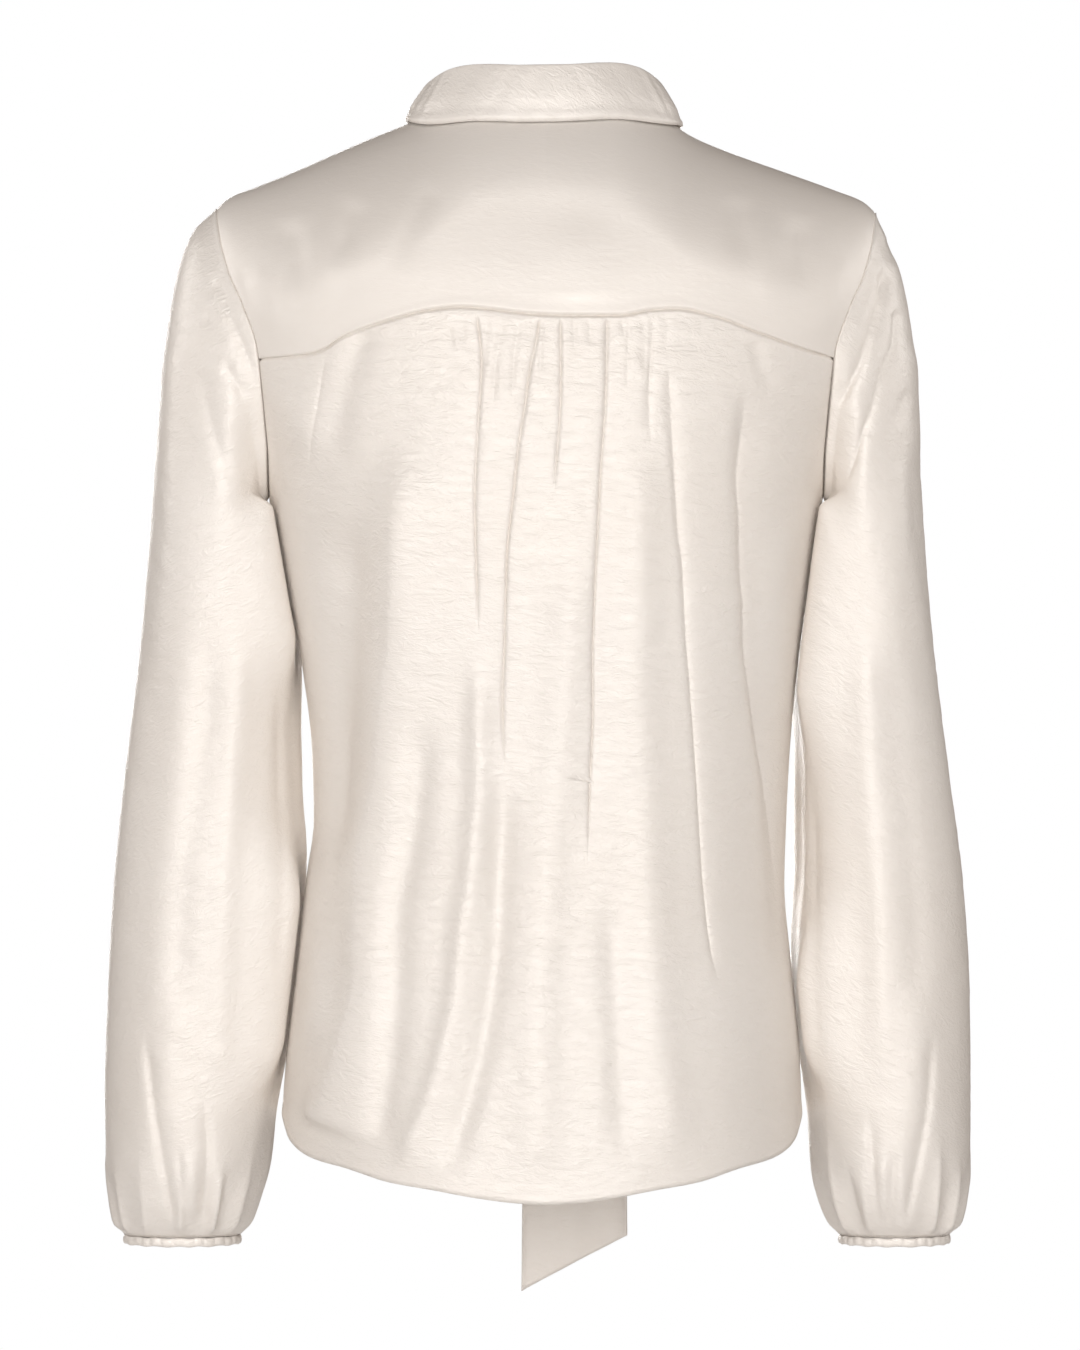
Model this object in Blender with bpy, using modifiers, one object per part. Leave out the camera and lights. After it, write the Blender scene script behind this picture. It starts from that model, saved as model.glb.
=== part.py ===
# A satin tie-neck blouse, filled out as worn, with nobody in it.
# Metres, +Z up. The front faces -Y and the wearer's left is +X.
# The origin is between the two neck points, where the shoulders hold the blouse.
# Every piece is an open cloth surface through named sections, given its wall by Solidify,
# which goes inward so that the outsides of two pieces meet at a seam.

import math

import bmesh
import bpy
import numpy as np

# Cloth and seams
CLOTH = 0.0012  # one worn layer of satin as a wall
TIE_CLOTH = 0.0018  # the tie is two layers
CUFF_WALL = 0.0022  # casing with elastic inside
SEAM_GAP = 0.0005  # between the outsides of sewn pieces; their insides come closer
SHOULDER_SEAM_GAP = 0.0008
ARMHOLE_GAP = 0.0010
SIDE_SEAM_GAP = 0.0008

# Shoulders and neck, as lengths of cloth from the shoulder line
SHOULDER_ROUND = 0.085  # how far below the shoulder line the body is still rounding over
NECK_HALF_WIDTH = 0.074
NECK_SHIFT = 0.0015  # the collar sits this far towards the wearer's left
NECK_BACK_REACH = 0.0763
NECK_V_REACH = 0.2195
NECK_V_BOW = 0.9
SHOULDER_SEAM_REACH = 0.042  # the yoke comes this far over the shoulder line to the front
ARMHOLE_REACH = 0.2448  # down to the underarm

# Collar band
COLLAR_FRONT_REACH = 0.194  # the band is sewn on down the V as far as this
COLLAR_FOLD_RADIUS = 0.0022
COLLAR_OVER_YOKE = 0.0028  # the fall's outside above the cloth under it
BAND_STATIONS = 37

# Cuffs
CUFF_HEIGHT = 0.0056
CUFF_RIBS = 24
CUFF_RIB_RISE = 0.0005

# Gathers
YOKE_GATHERS = 13
YOKE_GATHER_SPAN = (-0.090, 0.064)  # across the back, where the panel is gathered
YOKE_GATHER_RISE = 0.0017
YOKE_GATHER_LENGTH = 0.085
CAP_GATHERS = 8
CAP_GATHER_SPAN = (-66, 78)  # degrees round the sleeve from its outer line to the back
CAP_GATHER_LENGTH = 0.11  # share of the sleeve
CAP_GATHER_RISE = {1: 0.0012, -1: 0.0016}
WRIST_GATHERS = 10
WRIST_GATHER_RISE = 0.0026

# The knot and the two hanging tie ends
KNOT_MIDDLE = (-0.001, -0.1260, -0.1190)
KNOT_SIZE = (0.0180, 0.0100, 0.0145)
TIE_TOP = -0.1352
TIE_OVER_FRONT = 0.0050
LONG_TIE_TIP = -0.7350
SHORT_TIE_TIP = -0.5700
TIE_SLANT = 0.0360  # a tie end's two corners differ in height by this

# Colours
IVORY_SATIN = (0.80, 0.74, 0.67)
SATIN_ROUGHNESS = 0.38


# A short table with named columns, read by a smooth curve through its rows
class Table:
    def __init__(self, columns, rows):
        rows = sorted(rows)
        self.columns = {name: np.array([row[i] for row in rows]) for i, name in enumerate(columns)}
        self.key = self.columns[columns[0]]

    def at(self, column, where):
        return smooth_through(self.key, self.columns[column], where)


def smooth_through(xs, ys, where):
    """A cubic curve through the points that never overshoots them, flat beyond its ends."""
    where = np.clip(np.asarray(where, float), xs[0], xs[-1])
    steps = np.diff(xs)
    slopes = np.diff(ys) / steps
    tangents = np.zeros(len(xs))
    for i in range(1, len(xs) - 1):
        if slopes[i - 1] * slopes[i] > 0:
            near = 2 * steps[i] + steps[i - 1]
            far = steps[i] + 2 * steps[i - 1]
            tangents[i] = (near + far) / (near / slopes[i - 1] + far / slopes[i])
    tangents[0] = slopes[0]
    tangents[-1] = slopes[-1]
    i = np.clip(np.searchsorted(xs, where, side="right") - 1, 0, len(xs) - 2)
    t = (where - xs[i]) / steps[i]
    start = (1 + 2 * t) * (1 - t) ** 2 * ys[i] + t * (1 - t) ** 2 * steps[i] * tangents[i]
    end = t * t * (3 - 2 * t) * ys[i + 1] + t * t * (t - 1) * steps[i] * tangents[i + 1]
    return start + end


def ease(low, high, value):
    """0 at low, 1 at high, and smooth between them."""
    t = np.clip((np.asarray(value, float) - low) / (high - low), 0, 1)
    return t * t * (3 - 2 * t)


def mix(a, b, share):
    return a + (b - a) * share


# The shoulder line, from the middle of the neck out to the shoulder point and down over it
SHOULDER_LINE = Table(
    ("across", "left", "right"),
    [
        (0.000, 0.0360, 0.0360),
        (0.040, 0.0290, 0.0290),
        (0.060, 0.0170, 0.0160),
        (0.075, 0.0060, 0.0040),
        (0.087, 0.0000, -0.0055),
        (0.110, -0.0093, -0.0160),
        (0.130, -0.0180, -0.0233),
        (0.160, -0.0310, -0.0338),
        (0.180, -0.0389, -0.0411),
        (0.196, -0.0453, -0.0475),
        (0.204, -0.0520, -0.0545),
        (0.215, -0.0670, -0.0690),
        (0.230, -0.1000, -0.1000),
    ],
)

# The body at each height: half widths to the wearer's left and right, and how far the middle
# of the back and of the front lie from the side seams
BODY = Table(
    ("height", "left", "right", "back", "front"),
    [
        (0.040, 0.2350, 0.2350, 0.070, 0.060),
        (0.000, 0.2320, 0.2320, 0.075, 0.072),
        (-0.050, 0.2260, 0.2260, 0.088, 0.090),
        (-0.100, 0.2130, 0.2130, 0.102, 0.107),
        (-0.145, 0.1990, 0.1990, 0.110, 0.120),
        (-0.190, 0.1835, 0.1835, 0.113, 0.128),
        (-0.235, 0.1712, 0.1712, 0.113, 0.129),
        (-0.290, 0.1600, 0.1620, 0.111, 0.124),
        (-0.340, 0.1505, 0.1555, 0.108, 0.118),
        (-0.390, 0.1450, 0.1510, 0.106, 0.115),
        (-0.430, 0.1440, 0.1490, 0.106, 0.114),
        (-0.470, 0.1490, 0.1478, 0.108, 0.115),
        (-0.520, 0.1545, 0.1520, 0.112, 0.118),
        (-0.580, 0.1612, 0.1575, 0.116, 0.121),
        (-0.670, 0.1670, 0.1600, 0.119, 0.123),
    ],
)
BACK_FULLNESS = 2.5  # how square the back's section is, 2 being an ellipse
FRONT_FULLNESS = 2.2

# The armhole: half width at each length down from the shoulder point, on the back and the front
ARMHOLE = Table(
    ("reach", "back", "front"),
    [
        (0.000, 0.2040, 0.2040),
        (0.030, 0.2035, 0.2020),
        (0.060, 0.2015, 0.1960),
        (0.095, 0.1955, 0.1845),
        (0.122, 0.1860, 0.1760),
        (0.152, 0.1770, 0.1705),
        (0.175, 0.1745, 0.1690),
        (0.199, 0.1725, 0.1690),
        (0.220, 0.1712, 0.1700),
        (ARMHOLE_REACH, 0.1712, 0.1712),
    ],
)

# The shaped seam under the back yoke
YOKE_SEAM = Table(
    ("across", "height"),
    [
        (-0.180, -0.1480),
        (-0.160, -0.1430),
        (-0.128, -0.1325),
        (-0.103, -0.1235),
        (-0.080, -0.1190),
        (-0.063, -0.1200),
        (-0.045, -0.1232),
        (-0.018, -0.1233),
        (0.007, -0.1225),
        (0.033, -0.1195),
        (0.052, -0.1180),
        (0.072, -0.1200),
        (0.089, -0.1240),
        (0.110, -0.1305),
        (0.125, -0.1365),
        (0.135, -0.1430),
        (0.147, -0.1462),
        (0.180, -0.1480),
    ],
)

# The hem's height, from the middle of the panel (0) to its side seam (1)
HEM = Table(
    ("share", "back", "front"),
    [
        (0.00, -0.6600, -0.6380),
        (0.12, -0.6588, -0.6379),
        (0.25, -0.6562, -0.6374),
        (0.42, -0.6515, -0.6362),
        (0.58, -0.6475, -0.6340),
        (0.74, -0.6403, -0.6310),
        (0.88, -0.6352, -0.6265),
        (0.96, -0.6270, -0.6200),
        (1.00, -0.6120, -0.6120),
    ],
)
HEM_AT_SIDE = -0.6120

# Folds that hang down the panels: where each one's line crosses three heights, where it starts
# and ends, half its width, and how far it rises (or sinks) from the cloth
FOLD_HEIGHTS = (-0.12, -0.39, -0.66)
FOLD_COLUMNS = ("top", "middle", "hem", "starts", "ends", "half_width", "rise")
BACK_FOLDS = [
    (0.108, 0.128, 0.158, -0.17, -0.60, 0.020, -0.0055),
    (0.082, 0.099, 0.146, -0.14, -0.80, 0.017, 0.0070),
    (0.058, 0.068, 0.112, -0.13, -0.80, 0.014, -0.0045),
    (0.040, 0.040, 0.086, -0.12, -0.80, 0.012, 0.0055),
    (0.002, 0.024, 0.040, -0.12, -0.52, 0.009, -0.0060),
    (-0.022, -0.010, 0.000, -0.18, -0.80, 0.016, 0.0060),
    (-0.041, -0.032, -0.032, -0.12, -0.42, 0.009, -0.0055),
    (-0.060, -0.062, -0.066, -0.13, -0.80, 0.016, 0.0040),
    (-0.080, -0.095, -0.124, -0.14, -0.60, 0.010, -0.0055),
    (-0.100, -0.114, -0.140, -0.14, -0.80, 0.014, 0.0040),
    (-0.122, -0.136, -0.158, -0.14, -0.58, 0.012, -0.0070),
]
FRONT_FOLDS = [
    (0.100, 0.112, 0.138, -0.16, -0.80, 0.018, 0.0055),
    (0.076, 0.082, 0.100, -0.15, -0.80, 0.015, -0.0045),
    (0.050, 0.055, 0.068, -0.15, -0.80, 0.016, 0.0030),
    (-0.058, -0.064, -0.078, -0.15, -0.80, 0.016, 0.0030),
    (-0.084, -0.092, -0.110, -0.15, -0.80, 0.015, -0.0050),
    (-0.108, -0.122, -0.146, -0.16, -0.80, 0.018, 0.0055),
]

# The sleeve: at each share of its length, the heights and half widths of its outer and inner
# lines on the left and right arm, then the middle and half of its depth
SLEEVE = Table(
    (
        "share",
        "outer_z",
        "outer_left",
        "outer_right",
        "inner_z",
        "inner_left",
        "inner_right",
        "middle_y",
        "half_y",
    ),
    [
        (0.00, -0.0535, 0.2040, 0.2040, -0.2350, 0.1712, 0.1712, -0.006, 0.0600),
        (0.03, -0.0680, 0.2190, 0.2112, -0.2405, 0.1762, 0.1762, -0.007, 0.0600),
        (0.08, -0.1000, 0.2302, 0.2222, -0.2530, 0.1765, 0.1765, -0.008, 0.0595),
        (0.14, -0.1400, 0.2365, 0.2285, -0.2700, 0.1725, 0.1725, -0.010, 0.0590),
        (0.22, -0.1900, 0.2410, 0.2312, -0.2950, 0.1645, 0.1668, -0.012, 0.0580),
        (0.32, -0.2550, 0.2462, 0.2355, -0.3300, 0.1570, 0.1615, -0.014, 0.0565),
        (0.42, -0.3250, 0.2525, 0.2414, -0.3700, 0.1525, 0.1572, -0.016, 0.0555),
        (0.52, -0.4000, 0.2618, 0.2507, -0.4200, 0.1515, 0.1540, -0.018, 0.0550),
        (0.62, -0.4700, 0.2690, 0.2597, -0.4780, 0.1545, 0.1545, -0.019, 0.0555),
        (0.72, -0.5350, 0.2727, 0.2638, -0.5380, 0.1605, 0.1585, -0.020, 0.0555),
        (0.82, -0.6000, 0.2747, 0.2645, -0.6000, 0.1668, 0.1622, -0.020, 0.0550),
        (0.90, -0.6450, 0.2738, 0.2640, -0.6450, 0.1712, 0.1645, -0.020, 0.0525),
        (0.95, -0.6680, 0.2703, 0.2605, -0.6680, 0.1775, 0.1702, -0.021, 0.0480),
        (0.98, -0.6820, 0.2675, 0.2570, -0.6820, 0.1830, 0.1765, -0.022, 0.0400),
        (1.00, -0.6890, 0.2632, 0.2520, -0.6890, 0.1898, 0.1822, -0.022, 0.0310),
    ],
)
CAP_BLEND = 0.30  # share of the sleeve over which the armhole's shape fades into the tube
SLEEVE_FOLD_COLUMNS = ("degrees_top", "degrees_low", "starts", "ends", "half_degrees", "rise")
SLEEVE_FOLDS = {
    1: [
        (95, 40, 0.06, 0.55, 14, -0.0040),
        (60, 75, 0.10, 0.90, 18, 0.0030),
        (120, 110, 0.30, 0.96, 13, -0.0035),
        (-60, -75, 0.10, 0.95, 16, -0.0035),
        (-100, -110, 0.12, 0.95, 16, 0.0030),
    ],
    -1: [
        (95, 45, 0.05, 0.50, 13, -0.0045),
        (55, 70, 0.08, 0.92, 17, 0.0032),
        (115, 112, 0.28, 0.96, 13, -0.0035),
        (-60, -75, 0.10, 0.95, 16, -0.0035),
        (-100, -110, 0.12, 0.95, 16, 0.0030),
    ],
}

# The collar, from the middle of the back (0) by the neck point (0.5) to the knot (1): how far
# its fold lies out from the neckline and above it, and how far the fall comes over the cloth
COLLAR = Table(
    ("along", "out", "up", "fall"),
    [
        (0.00, -0.0010, 0.0290, 0.0100),
        (0.25, -0.0010, 0.0275, 0.0105),
        (0.40, -0.0010, 0.0215, 0.0110),
        (0.50, -0.0010, 0.0160, 0.0115),
        (0.62, -0.0010, 0.0120, 0.0150),
        (0.80, -0.0008, 0.0090, 0.0170),
        (1.00, -0.0005, 0.0080, 0.0080),
    ],
)

# The hanging tie ends: middle line and half width at each share of the length
LONG_TIE = Table(
    ("share", "across", "half_width", "ripple"),
    [
        (0.00, -0.0085, 0.0075, 0.0000),
        (0.05, -0.0110, 0.0120, 0.0016),
        (0.20, -0.0150, 0.0210, 0.0022),
        (0.50, -0.0170, 0.0280, 0.0018),
        (0.80, -0.0178, 0.0320, 0.0010),
        (1.00, -0.0178, 0.0332, 0.0004),
    ],
)
SHORT_TIE = Table(
    ("share", "across", "half_width", "ripple"),
    [
        (0.00, 0.0075, 0.0070, 0.0000),
        (0.05, 0.0150, 0.0115, 0.0016),
        (0.20, 0.0290, 0.0200, 0.0022),
        (0.50, 0.0420, 0.0270, 0.0018),
        (0.80, 0.0490, 0.0315, 0.0010),
        (1.00, 0.0510, 0.0330, 0.0004),
    ],
)


# The torso as a surface of (across, reach): reach is the length of cloth down from the shoulder
# line, positive down the back and negative down the front
def drop_for(reach):
    """Height lost at a length of cloth, and how far the cloth has rounded over."""
    turn = np.abs(reach) / SHOULDER_ROUND
    rounding = turn < math.pi / 2
    drop = np.where(rounding, 1 - np.cos(turn), 1 + turn - math.pi / 2) * SHOULDER_ROUND
    return drop, np.where(rounding, np.sin(turn), 1.0)


def reach_for(drop):
    """The length of cloth for a height lost, the reverse of drop_for."""
    share = np.asarray(drop, float) / SHOULDER_ROUND
    rounded = np.arccos(np.clip(1 - share, -1, 1))
    return np.where(share < 1, rounded, math.pi / 2 + share - 1) * SHOULDER_ROUND


def shoulder_height(x):
    left = SHOULDER_LINE.at("left", np.abs(x))
    return np.where(np.asarray(x) > 0, left, SHOULDER_LINE.at("right", np.abs(x)))


def body_depth(x, z, face):
    """Depth of the body at (x, z); face is 1 for the back and -1 for the front."""
    width = np.where(np.asarray(x) > 0, BODY.at("left", z), BODY.at("right", z))
    share = np.clip(np.abs(x) / width, 0, 1)
    if face > 0:
        return BODY.at("back", z) * np.sqrt(1 - share**BACK_FULLNESS)
    return -BODY.at("front", z) * np.sqrt(1 - share**FRONT_FULLNESS)


def torso(x, reach):
    """Points of the torso at places across and lengths of cloth down."""
    x, reach = np.broadcast_arrays(np.asarray(x, float), np.asarray(reach, float))
    drop, rounding = drop_for(reach)
    z = shoulder_height(x) - drop
    depth = np.where(reach >= 0, body_depth(x, z, 1), body_depth(x, z, -1))
    return np.stack([x, depth * rounding, z], axis=-1)


def torso_normal(x, reach):
    """Unit normals of the torso, pointing out of the body."""
    step = 0.0006
    x, reach = np.broadcast_arrays(np.asarray(x, float), np.asarray(reach, float))
    across = torso(x + step, reach) - torso(x - step, reach)
    down = torso(x, reach + step) - torso(x, reach - step)
    normal = np.cross(across, down)
    return normal / np.linalg.norm(normal, axis=-1, keepdims=True)


def at_height(x, z, face):
    """Points and normals of the torso's back or front at (x, z)."""
    reach = face * reach_for(shoulder_height(x) - z)
    return torso(x, reach), torso_normal(x * 0.998, reach)


UNDERARM = float(shoulder_height(0.1712) - drop_for(ARMHOLE_REACH)[0])


def armhole_half_width(z, side, face):
    reaches = np.linspace(0, ARMHOLE_REACH + 0.004, 80)
    widths = ARMHOLE.at("back" if face > 0 else "front", reaches)
    heights = shoulder_height(side * widths) - drop_for(reaches)[0]
    return np.interp(-np.asarray(z, float), -heights, widths)


def panel_edge(z, side, face):
    """Half width of a body panel's edge at a height: the armhole, then the side seam."""
    body = BODY.at("left" if side > 0 else "right", z)
    return np.where(z > UNDERARM, armhole_half_width(z, side, face), body)


def neckline(along):
    """The neckline as (across, reach): 0 is the middle of the back, 0.5 the left neck point, 1 the V."""
    along = np.asarray(along, float)
    side = np.where(along < 0, -1, 1)
    share = np.abs(along)
    turn = np.minimum(share, 0.5) * math.pi
    down_v = np.clip(share - 0.5, 0, 0.5) * 2
    width = np.where(share <= 0.5, np.sin(turn), (1 - down_v) ** NECK_V_BOW)
    reach = np.where(share <= 0.5, NECK_BACK_REACH * np.cos(turn), -NECK_V_REACH * down_v)
    return side * NECK_HALF_WIDTH * width + NECK_SHIFT * (1 - down_v), reach


SHOULDER_SEAM_ALONG = 0.5 + 0.5 * SHOULDER_SEAM_REACH / NECK_V_REACH


# Folds and gathers
def hanging_folds(folds, x, z):
    """How far the folds in a table lift the cloth at (x, z)."""
    total = np.zeros(np.shape(x))
    for row in folds:
        fold = dict(zip(FOLD_COLUMNS, row))
        crossings = (fold["top"], fold["middle"], fold["hem"])
        line = Table(("height", "across"), list(zip(FOLD_HEIGHTS, crossings))).at("across", z)
        present = ease(fold["starts"] + 0.005, fold["starts"] - 0.07, z)
        present = present * ease(fold["ends"], fold["ends"] + 0.10, z)
        away = (x - line) / fold["half_width"]
        total = total + fold["rise"] * present * np.exp(-away * away)
    return total


def yoke_gathers(x, below):
    """The small gathers under the yoke seam, at a distance below it."""
    low, high = YOKE_GATHER_SPAN
    share = (x - low) / (high - low)
    wave = -np.cos(2 * math.pi * YOKE_GATHERS * share)
    inside = ease(-0.01, 0.1, share) * ease(1.01, 0.9, share)
    uneven = 0.8 + 0.2 * np.sin(11 * share + 1)
    length = ease(0, 0.008, below) * ease(YOKE_GATHER_LENGTH, 0.02, below)
    return YOKE_GATHER_RISE * wave * inside * uneven * length


# Meshes
def skin(rows):
    """Faces between rows of points, each row with a position for every point along it."""
    points = [tuple(p) for _, row in rows for p in row]
    starts = np.cumsum([0] + [len(row) for _, row in rows])
    faces = []
    for i in range(len(rows) - 1):
        along_a, along_b = rows[i][0], rows[i + 1][0]
        first, second = starts[i], starts[i + 1]
        last_a, last_b = len(along_a) - 1, len(along_b) - 1
        j = k = 0
        while j < last_a or k < last_b:
            if last_a == last_b:
                faces.append((first + j, second + j, second + j + 1, first + j + 1))
                j += 1
                k += 1
            elif k == last_b or (j < last_a and along_a[j + 1] <= along_b[k + 1]):
                faces.append((first + j, second + k, first + j + 1))
                j += 1
            else:
                faces.append((first + j, second + k, second + k + 1))
                k += 1
    return points, faces


def satin(name):
    material = bpy.data.materials.new(name)
    material.use_nodes = True
    shader = material.node_tree.nodes["Principled BSDF"]
    shader.inputs["Base Color"].default_value = (*IVORY_SATIN, 1)
    shader.inputs["Roughness"].default_value = SATIN_ROUGHNESS
    return material


def cloth_piece(name, surface, wall, turn_over=False):
    """A node from an open surface, closed where its edges meet and given a wall inward."""
    points, faces = surface
    bm = bmesh.new()
    made = [bm.verts.new(p) for p in points]
    for face in faces:
        corners = reversed(face) if turn_over else face
        bm.faces.new([made[i] for i in corners])
    bmesh.ops.remove_doubles(bm, verts=bm.verts, dist=1e-6)
    mesh = bpy.data.meshes.new(name)
    bm.to_mesh(mesh)
    bm.free()
    mesh.shade_smooth()
    piece = bpy.data.objects.new(name, mesh)
    piece.data.materials.append(satin(name))
    blouse.objects.link(piece)
    solidify = piece.modifiers.new("wall", "SOLIDIFY")
    solidify.thickness = wall
    solidify.offset = -1
    return piece


# The yoke seam's points: one for each gather and some on either side
def seam_ends():
    ends = []
    for side in (-1, 1):
        height = -0.148
        for _ in range(4):
            across = float(armhole_half_width(height, side, 1))
            height = float(YOKE_SEAM.at("height", side * across))
        ends.append((side * across, height))
    return ends


SEAM_RIGHT, SEAM_LEFT = seam_ends()


def seam_positions(per_gather):
    low, high = YOKE_GATHER_SPAN
    right = np.linspace(SEAM_RIGHT[0], low, 8)
    gathered = np.linspace(low, high, YOKE_GATHERS * per_gather + 1)
    left = np.linspace(high, SEAM_LEFT[0], 9)
    return np.concatenate([right[:-1], gathered, left[1:]])


def seam_reach(x):
    return reach_for(shoulder_height(x) - YOKE_SEAM.at("height", x))


YOKE_ARMHOLE_SHARES = (0.0, 0.05, 0.13, 0.25, 0.38, 0.5, 0.62, 0.75, 0.88, 1.0)
YOKE_RINGS = 8


def yoke_armhole(side):
    """The yoke's edge on the armhole, from its front seam over the shoulder to the back seam."""
    back_end = float(seam_reach((SEAM_LEFT if side > 0 else SEAM_RIGHT)[0]))
    reach = mix(-SHOULDER_SEAM_REACH, back_end, np.array(YOKE_ARMHOLE_SHARES))
    width = np.where(reach > 0, ARMHOLE.at("back", reach), ARMHOLE.at("front", -reach))
    width[-1] = abs((SEAM_LEFT if side > 0 else SEAM_RIGHT)[0])
    return side * width, reach


def back_yoke():
    right_x, right_reach = yoke_armhole(-1)
    left_x, left_reach = yoke_armhole(1)
    seam_x = seam_positions(1)
    outer_x = np.concatenate([right_x, seam_x[1:-1], left_x[::-1]])
    outer_reach = np.concatenate([right_reach, seam_reach(seam_x[1:-1]), left_reach[::-1]])
    share = np.linspace(-1, 1, len(outer_x))
    inner_x, inner_reach = neckline(share * SHOULDER_SEAM_ALONG)
    rows = []
    for t in np.linspace(0, 1, YOKE_RINGS + 1):
        x = mix(inner_x, outer_x, t)
        reach = mix(inner_reach, outer_reach, t)
        rows.append((share, torso(x, reach)))
    return cloth_piece("back_yoke", skin(rows), CLOTH, turn_over=True)


# Body panels
def edge_heights(top, above_underarm, below_underarm):
    above = mix(top, UNDERARM, np.array(above_underarm))
    below = np.linspace(UNDERARM, HEM_AT_SIDE, below_underarm + 1)
    return np.concatenate([above, below])


BACK_ABOVE_UNDERARM = (0.0, 0.04, 0.12, 0.27, 0.5, 0.75, 0.9, 0.975)
BACK_GATHERED_ROWS = 5
BACK_COLUMNS = 39
FRONT_ABOVE_UNDERARM = (0.0, 0.04, 0.17, 0.36, 0.56, 0.76, 0.9, 0.97)
FRONT_V_STEPS = 9


def panel_sides(s):
    return np.where(s > 0, 1, -1)


def panel_row(face, height, top_height, s, top_z):
    """(x, z) of one row of a panel whose edge is at a height."""
    share = (top_height - height) / (top_height - HEM_AT_SIDE)
    edge = np.where(s > 0, panel_edge(height, 1, face), panel_edge(height, -1, face))
    hem = HEM.at("back" if face > 0 else "front", np.abs(s))
    return s * edge, mix(top_z, hem, share)


def panel_cloth(x, z, face, lift):
    points, normal = at_height(x, z, face)
    points = points + normal * lift[:, None]
    points[:, 1] = face * np.maximum(face * points[:, 1], SIDE_SEAM_GAP / 2)
    return points


def back_panel():
    coarse = seam_positions(1)
    dense = seam_positions(4)
    ends = np.where(dense > 0, SEAM_LEFT[0], -SEAM_RIGHT[0])
    top_height = SEAM_LEFT[1]
    seam = torso(coarse, seam_reach(coarse) + SEAM_GAP)
    top_row = np.stack([np.interp(dense, coarse, seam[:, i]) for i in range(3)], axis=-1)
    rows = [(dense / ends, top_row)]
    heights = edge_heights(top_height, BACK_ABOVE_UNDERARM, 11)
    for number, height in enumerate(heights[1:], 1):
        share = (top_height - height) / (top_height - HEM_AT_SIDE)
        if number < BACK_GATHERED_ROWS:
            s = dense / ends
        else:
            u = np.linspace(-1, 1, BACK_COLUMNS)
            s = mix(u, np.sin(u * math.pi / 2), ease(0.05, 0.3, share) * 0.95)
        reach = np.where(s > 0, SEAM_LEFT[0], -SEAM_RIGHT[0])
        top_z = YOKE_SEAM.at("height", s * reach) - SEAM_GAP
        x, z = panel_row(1, height, top_height, s, top_z)
        from_edge = 1 - np.abs(s)
        still = ease(0.0, 0.12, from_edge) * ease(0.0, 0.05, top_z - z)
        lift = hanging_folds(BACK_FOLDS, x, z) * still + yoke_gathers(x, top_z - z)
        rows.append((s, panel_cloth(x, z, 1, lift)))
    return cloth_piece("back_panel", skin(rows), CLOTH, turn_over=True)


def front_top():
    """The front's top edge as (across, reach): shoulder seam, V neckline, shoulder seam."""
    pieces = []
    for side in (-1, 1):
        v_along = np.linspace(SHOULDER_SEAM_ALONG, 1, FRONT_V_STEPS + 1)
        v_x, v_reach = neckline(side * v_along)
        arm_x = yoke_armhole(side)[0][0]
        seam_x = np.linspace(arm_x, v_x[0], YOKE_RINGS + 1)
        seam = np.full(YOKE_RINGS, -SHOULDER_SEAM_REACH)
        pieces.append((np.concatenate([seam_x[:-1], v_x]), np.concatenate([seam, v_reach])))
    (right_x, right_reach), (left_x, left_reach) = pieces
    across = np.concatenate([right_x, left_x[-2::-1]])
    reach = np.concatenate([right_reach, left_reach[-2::-1]])
    return across, reach - SHOULDER_SEAM_GAP


def front_panel():
    top_x, top_reach = front_top()
    top_points = torso(top_x, top_reach)
    top_height = float(top_points[0, 2])
    top_s = top_x / np.where(top_x > 0, top_x[-1], -top_x[0])
    u = np.linspace(-1, 1, len(top_x))
    rows = [(top_s, top_points)]
    for height in edge_heights(top_height, FRONT_ABOVE_UNDERARM, 10)[1:]:
        share = (top_height - height) / (top_height - HEM_AT_SIDE)
        s = mix(top_s, np.sin(u * math.pi / 2), ease(0.0, 0.5, share) * 0.95)
        x, z = panel_row(-1, height, top_height, s, top_points[:, 2])
        still = ease(0.0, 0.12, 1 - np.abs(s)) * ease(0.0, 0.06, top_points[:, 2] - z)
        lift = hanging_folds(FRONT_FOLDS, x, z) * still
        rows.append((s, panel_cloth(x, z, -1, lift)))
    return cloth_piece("front_panel", skin(rows), CLOTH)


# Sleeves
def armhole_loop(side):
    """The armhole from the underarm up the front, over the shoulder and down the back."""
    arm_x, arm_reach = yoke_armhole(side)
    over = torso(arm_x, arm_reach)
    top_x, top_reach = front_top()
    top = float(torso(top_x[0], top_reach[0])[2])
    front_heights = edge_heights(top, FRONT_ABOVE_UNDERARM, 1)[1:-1]
    front_x = side * panel_edge(front_heights, side, -1)
    front = at_height(front_x, front_heights, -1)[0]
    back_heights = edge_heights(SEAM_LEFT[1], BACK_ABOVE_UNDERARM, 1)[1:-1]
    back_x = side * panel_edge(back_heights, side, 1)
    back = at_height(back_x, back_heights, 1)[0]
    front[-1, 1] = 0
    back[-1, 1] = 0
    return np.concatenate([front[::-1], over, back])


def sleeve_frame(side, share):
    arm = "left" if side > 0 else "right"
    outer = np.array([SLEEVE.at("outer_" + arm, share), SLEEVE.at("outer_z", share)])
    inner = np.array([SLEEVE.at("inner_" + arm, share), SLEEVE.at("inner_z", share)])
    middle = (outer + inner) / 2
    half = np.linalg.norm(outer - inner) / 2
    toward_outer = (outer - inner) / (2 * half)
    return middle, toward_outer, half, SLEEVE.at("middle_y", share), SLEEVE.at("half_y", share)


def sleeve_tube(side, share, angle, lift=0.0):
    """Points round the sleeve at a share of its length; angle 0 is the outer line."""
    middle, toward_outer, half, middle_y, half_y = sleeve_frame(side, share)
    along = (half + lift) * np.cos(angle)
    x = side * (middle[0] + along * toward_outer[0])
    y = middle_y + (half_y + lift) * np.sin(angle)
    z = middle[1] + along * toward_outer[1]
    return np.stack([x, y, z], axis=-1)


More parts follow.
